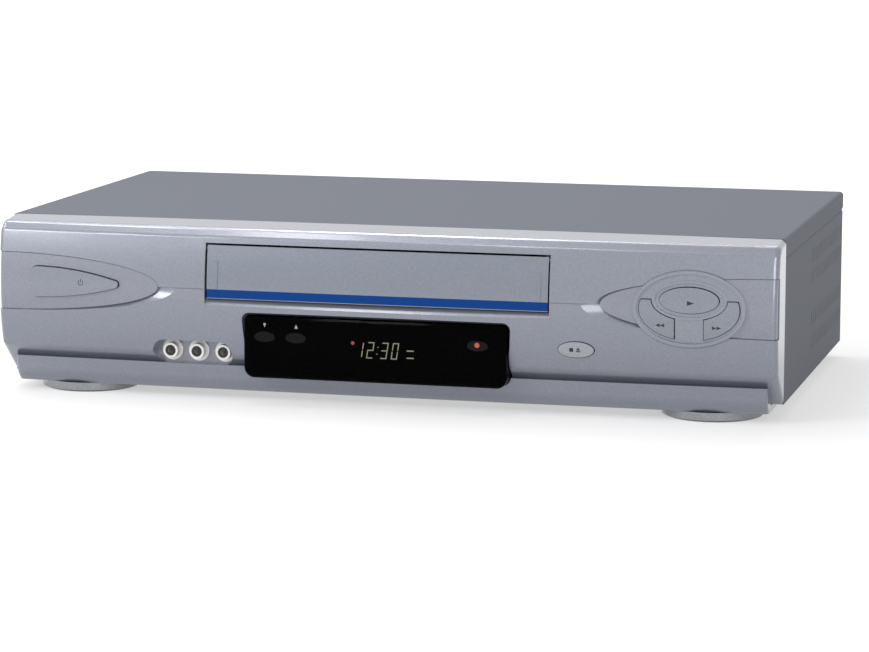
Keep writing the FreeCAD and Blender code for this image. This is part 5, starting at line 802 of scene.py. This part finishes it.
def ring_mesh(outer, inner, length, steps=28):
    """A ring with softened lips: its front is at Y = 0 and it reaches back along +Y."""
    soft = min(length, outer - inner) * LIP_SHARE
    profile = [(inner, length), (inner, soft), (inner + soft, 0),
               (outer - soft, 0), (outer, soft), (outer, length)]
    ring = bmesh.new()
    loops = [[ring.verts.new((r * MM * math.cos(2 * math.pi * n / steps), y * MM,
                              r * MM * math.sin(2 * math.pi * n / steps))) for r, y in profile]
             for n in range(steps)]
    for n in range(steps):
        here, there = loops[n], loops[(n + 1) % steps]
        for k in range(len(profile)):
            j = (k + 1) % len(profile)
            ring.faces.new([here[k], there[k], there[j], here[j]])
    return closed_mesh("socket_ring", ring)


RING_PROUD, RING_DEEP, PLUG_RADIUS, PIN_RADIUS = 0.15, 0.3, 2.95, 1.5
TUBE_RADIUS, COLLAR_RADIUS = 4.15, 5.8
front_low, front_high = [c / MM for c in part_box("front_jacks")]
front_middle = (front_low.z + front_high.z) / 2
front_across = [front_low.x + COLLAR_RADIUS, (front_low.x + front_high.x) / 2,
                front_high.x - COLLAR_RADIUS]
socket_rings = [repeated(
    "front_socket_rings", ring_mesh(PLUG_RADIUS, PIN_RADIUS, RING_DEEP), black_abs,
    [spot(x, front_low.y - RING_PROUD, TOP - front_middle) for x in front_across],
    UNTURNED * 3, "deck")]
rear_low, rear_high = [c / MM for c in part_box("rear_jacks")]
rear_across = (rear_low.x + TUBE_RADIUS, rear_high.x - TUBE_RADIUS)
levels = (rear_low.z + TUBE_RADIUS, (rear_low.z + rear_high.z) / 2, rear_high.z - TUBE_RADIUS)
for colour, finish, level in zip(("red", "white", "yellow"), (red_abs, white_acetal, yellow_abs), levels):
    socket_rings.append(repeated(
        f"rear_socket_rings_{colour}", ring_mesh(PLUG_RADIUS, PIN_RADIUS, RING_DEEP), finish,
        [spot(x, rear_high.y + RING_PROUD, TOP - level) for x in rear_across],
        [(0, 0, math.pi)] * 2, "deck"))
print("socket rings:", [ring.name for ring in socket_rings])

# %% [markdown]
# ## A black gauze behind the vents, as painted shade
# The vents in the rear panel would let light shine right through the deck and out over the
# cassette door. A black gauze just inside the panel is put there only to stop that light, so
# that the gap over the door stays in shade: it is a dark sheet for painted shade, not a part
# known to be there. It is one thin plate; its weave is a pattern of crossed threads in tone
# and bump, 3.8 mm apart, which is coarser than real gauze.

# %% Vent gauze
def plate_mesh(low, high):
    """A plain box between two corners in millimetres."""
    plate = bmesh.new()
    bmesh.ops.create_cube(plate, size=1.0)
    for corner in plate.verts:
        corner.co = Vector([(a + b) / 2 + c * (b - a) for a, b, c in zip(low, high, corner.co)]) * MM
    return plate


# The gauze is painted shade: a black sheet that stops the light coming through the vents.
shade_sheet_black, weave_tree, weave_shader, weave_place = base_finish("black_shade_gauze", "0C0C0D", 0.0, 0.85)
THREAD_RADIAN = 0.6
threads = {"Vector": weave_place, "Scale": 1000 / THREAD_RADIAN / WAVE_RADIANS}
warp = add(weave_tree, "ShaderNodeTexWave", threads, bands_direction="X")
weft = add(weave_tree, "ShaderNodeTexWave", threads, bands_direction="Z")
crossed = add(weave_tree, "ShaderNodeMath", {
    0: warp.outputs["Fac"], 1: weft.outputs["Fac"]}, operation="MULTIPLY")
shade_between(weave_tree, weave_shader, crossed.outputs[0], "08080A", "17171A")
raise_by(weave_tree, weave_shader, crossed.outputs[0], 0.08)
PANEL_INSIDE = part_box("rear_panel")[0].y / MM
GAUZE_FRONT, GAUZE_BACK = PANEL_INSIDE - 0.5, PANEL_INSIDE - 0.1
GAUZE_LEFT, GAUZE_RIGHT, GAUZE_FOOT, GAUZE_TOP = -153.0, -104.0, 47.0, 83.0
shade_gauze_plate = plate_mesh((GAUZE_LEFT, GAUZE_FRONT, GAUZE_FOOT), (GAUZE_RIGHT, GAUZE_BACK, GAUZE_TOP))
as_piece("vent_gauze", shade_gauze_plate, shade_sheet_black, "deck")
print("gauze lies at", round(GAUZE_FRONT, 1), "mm")
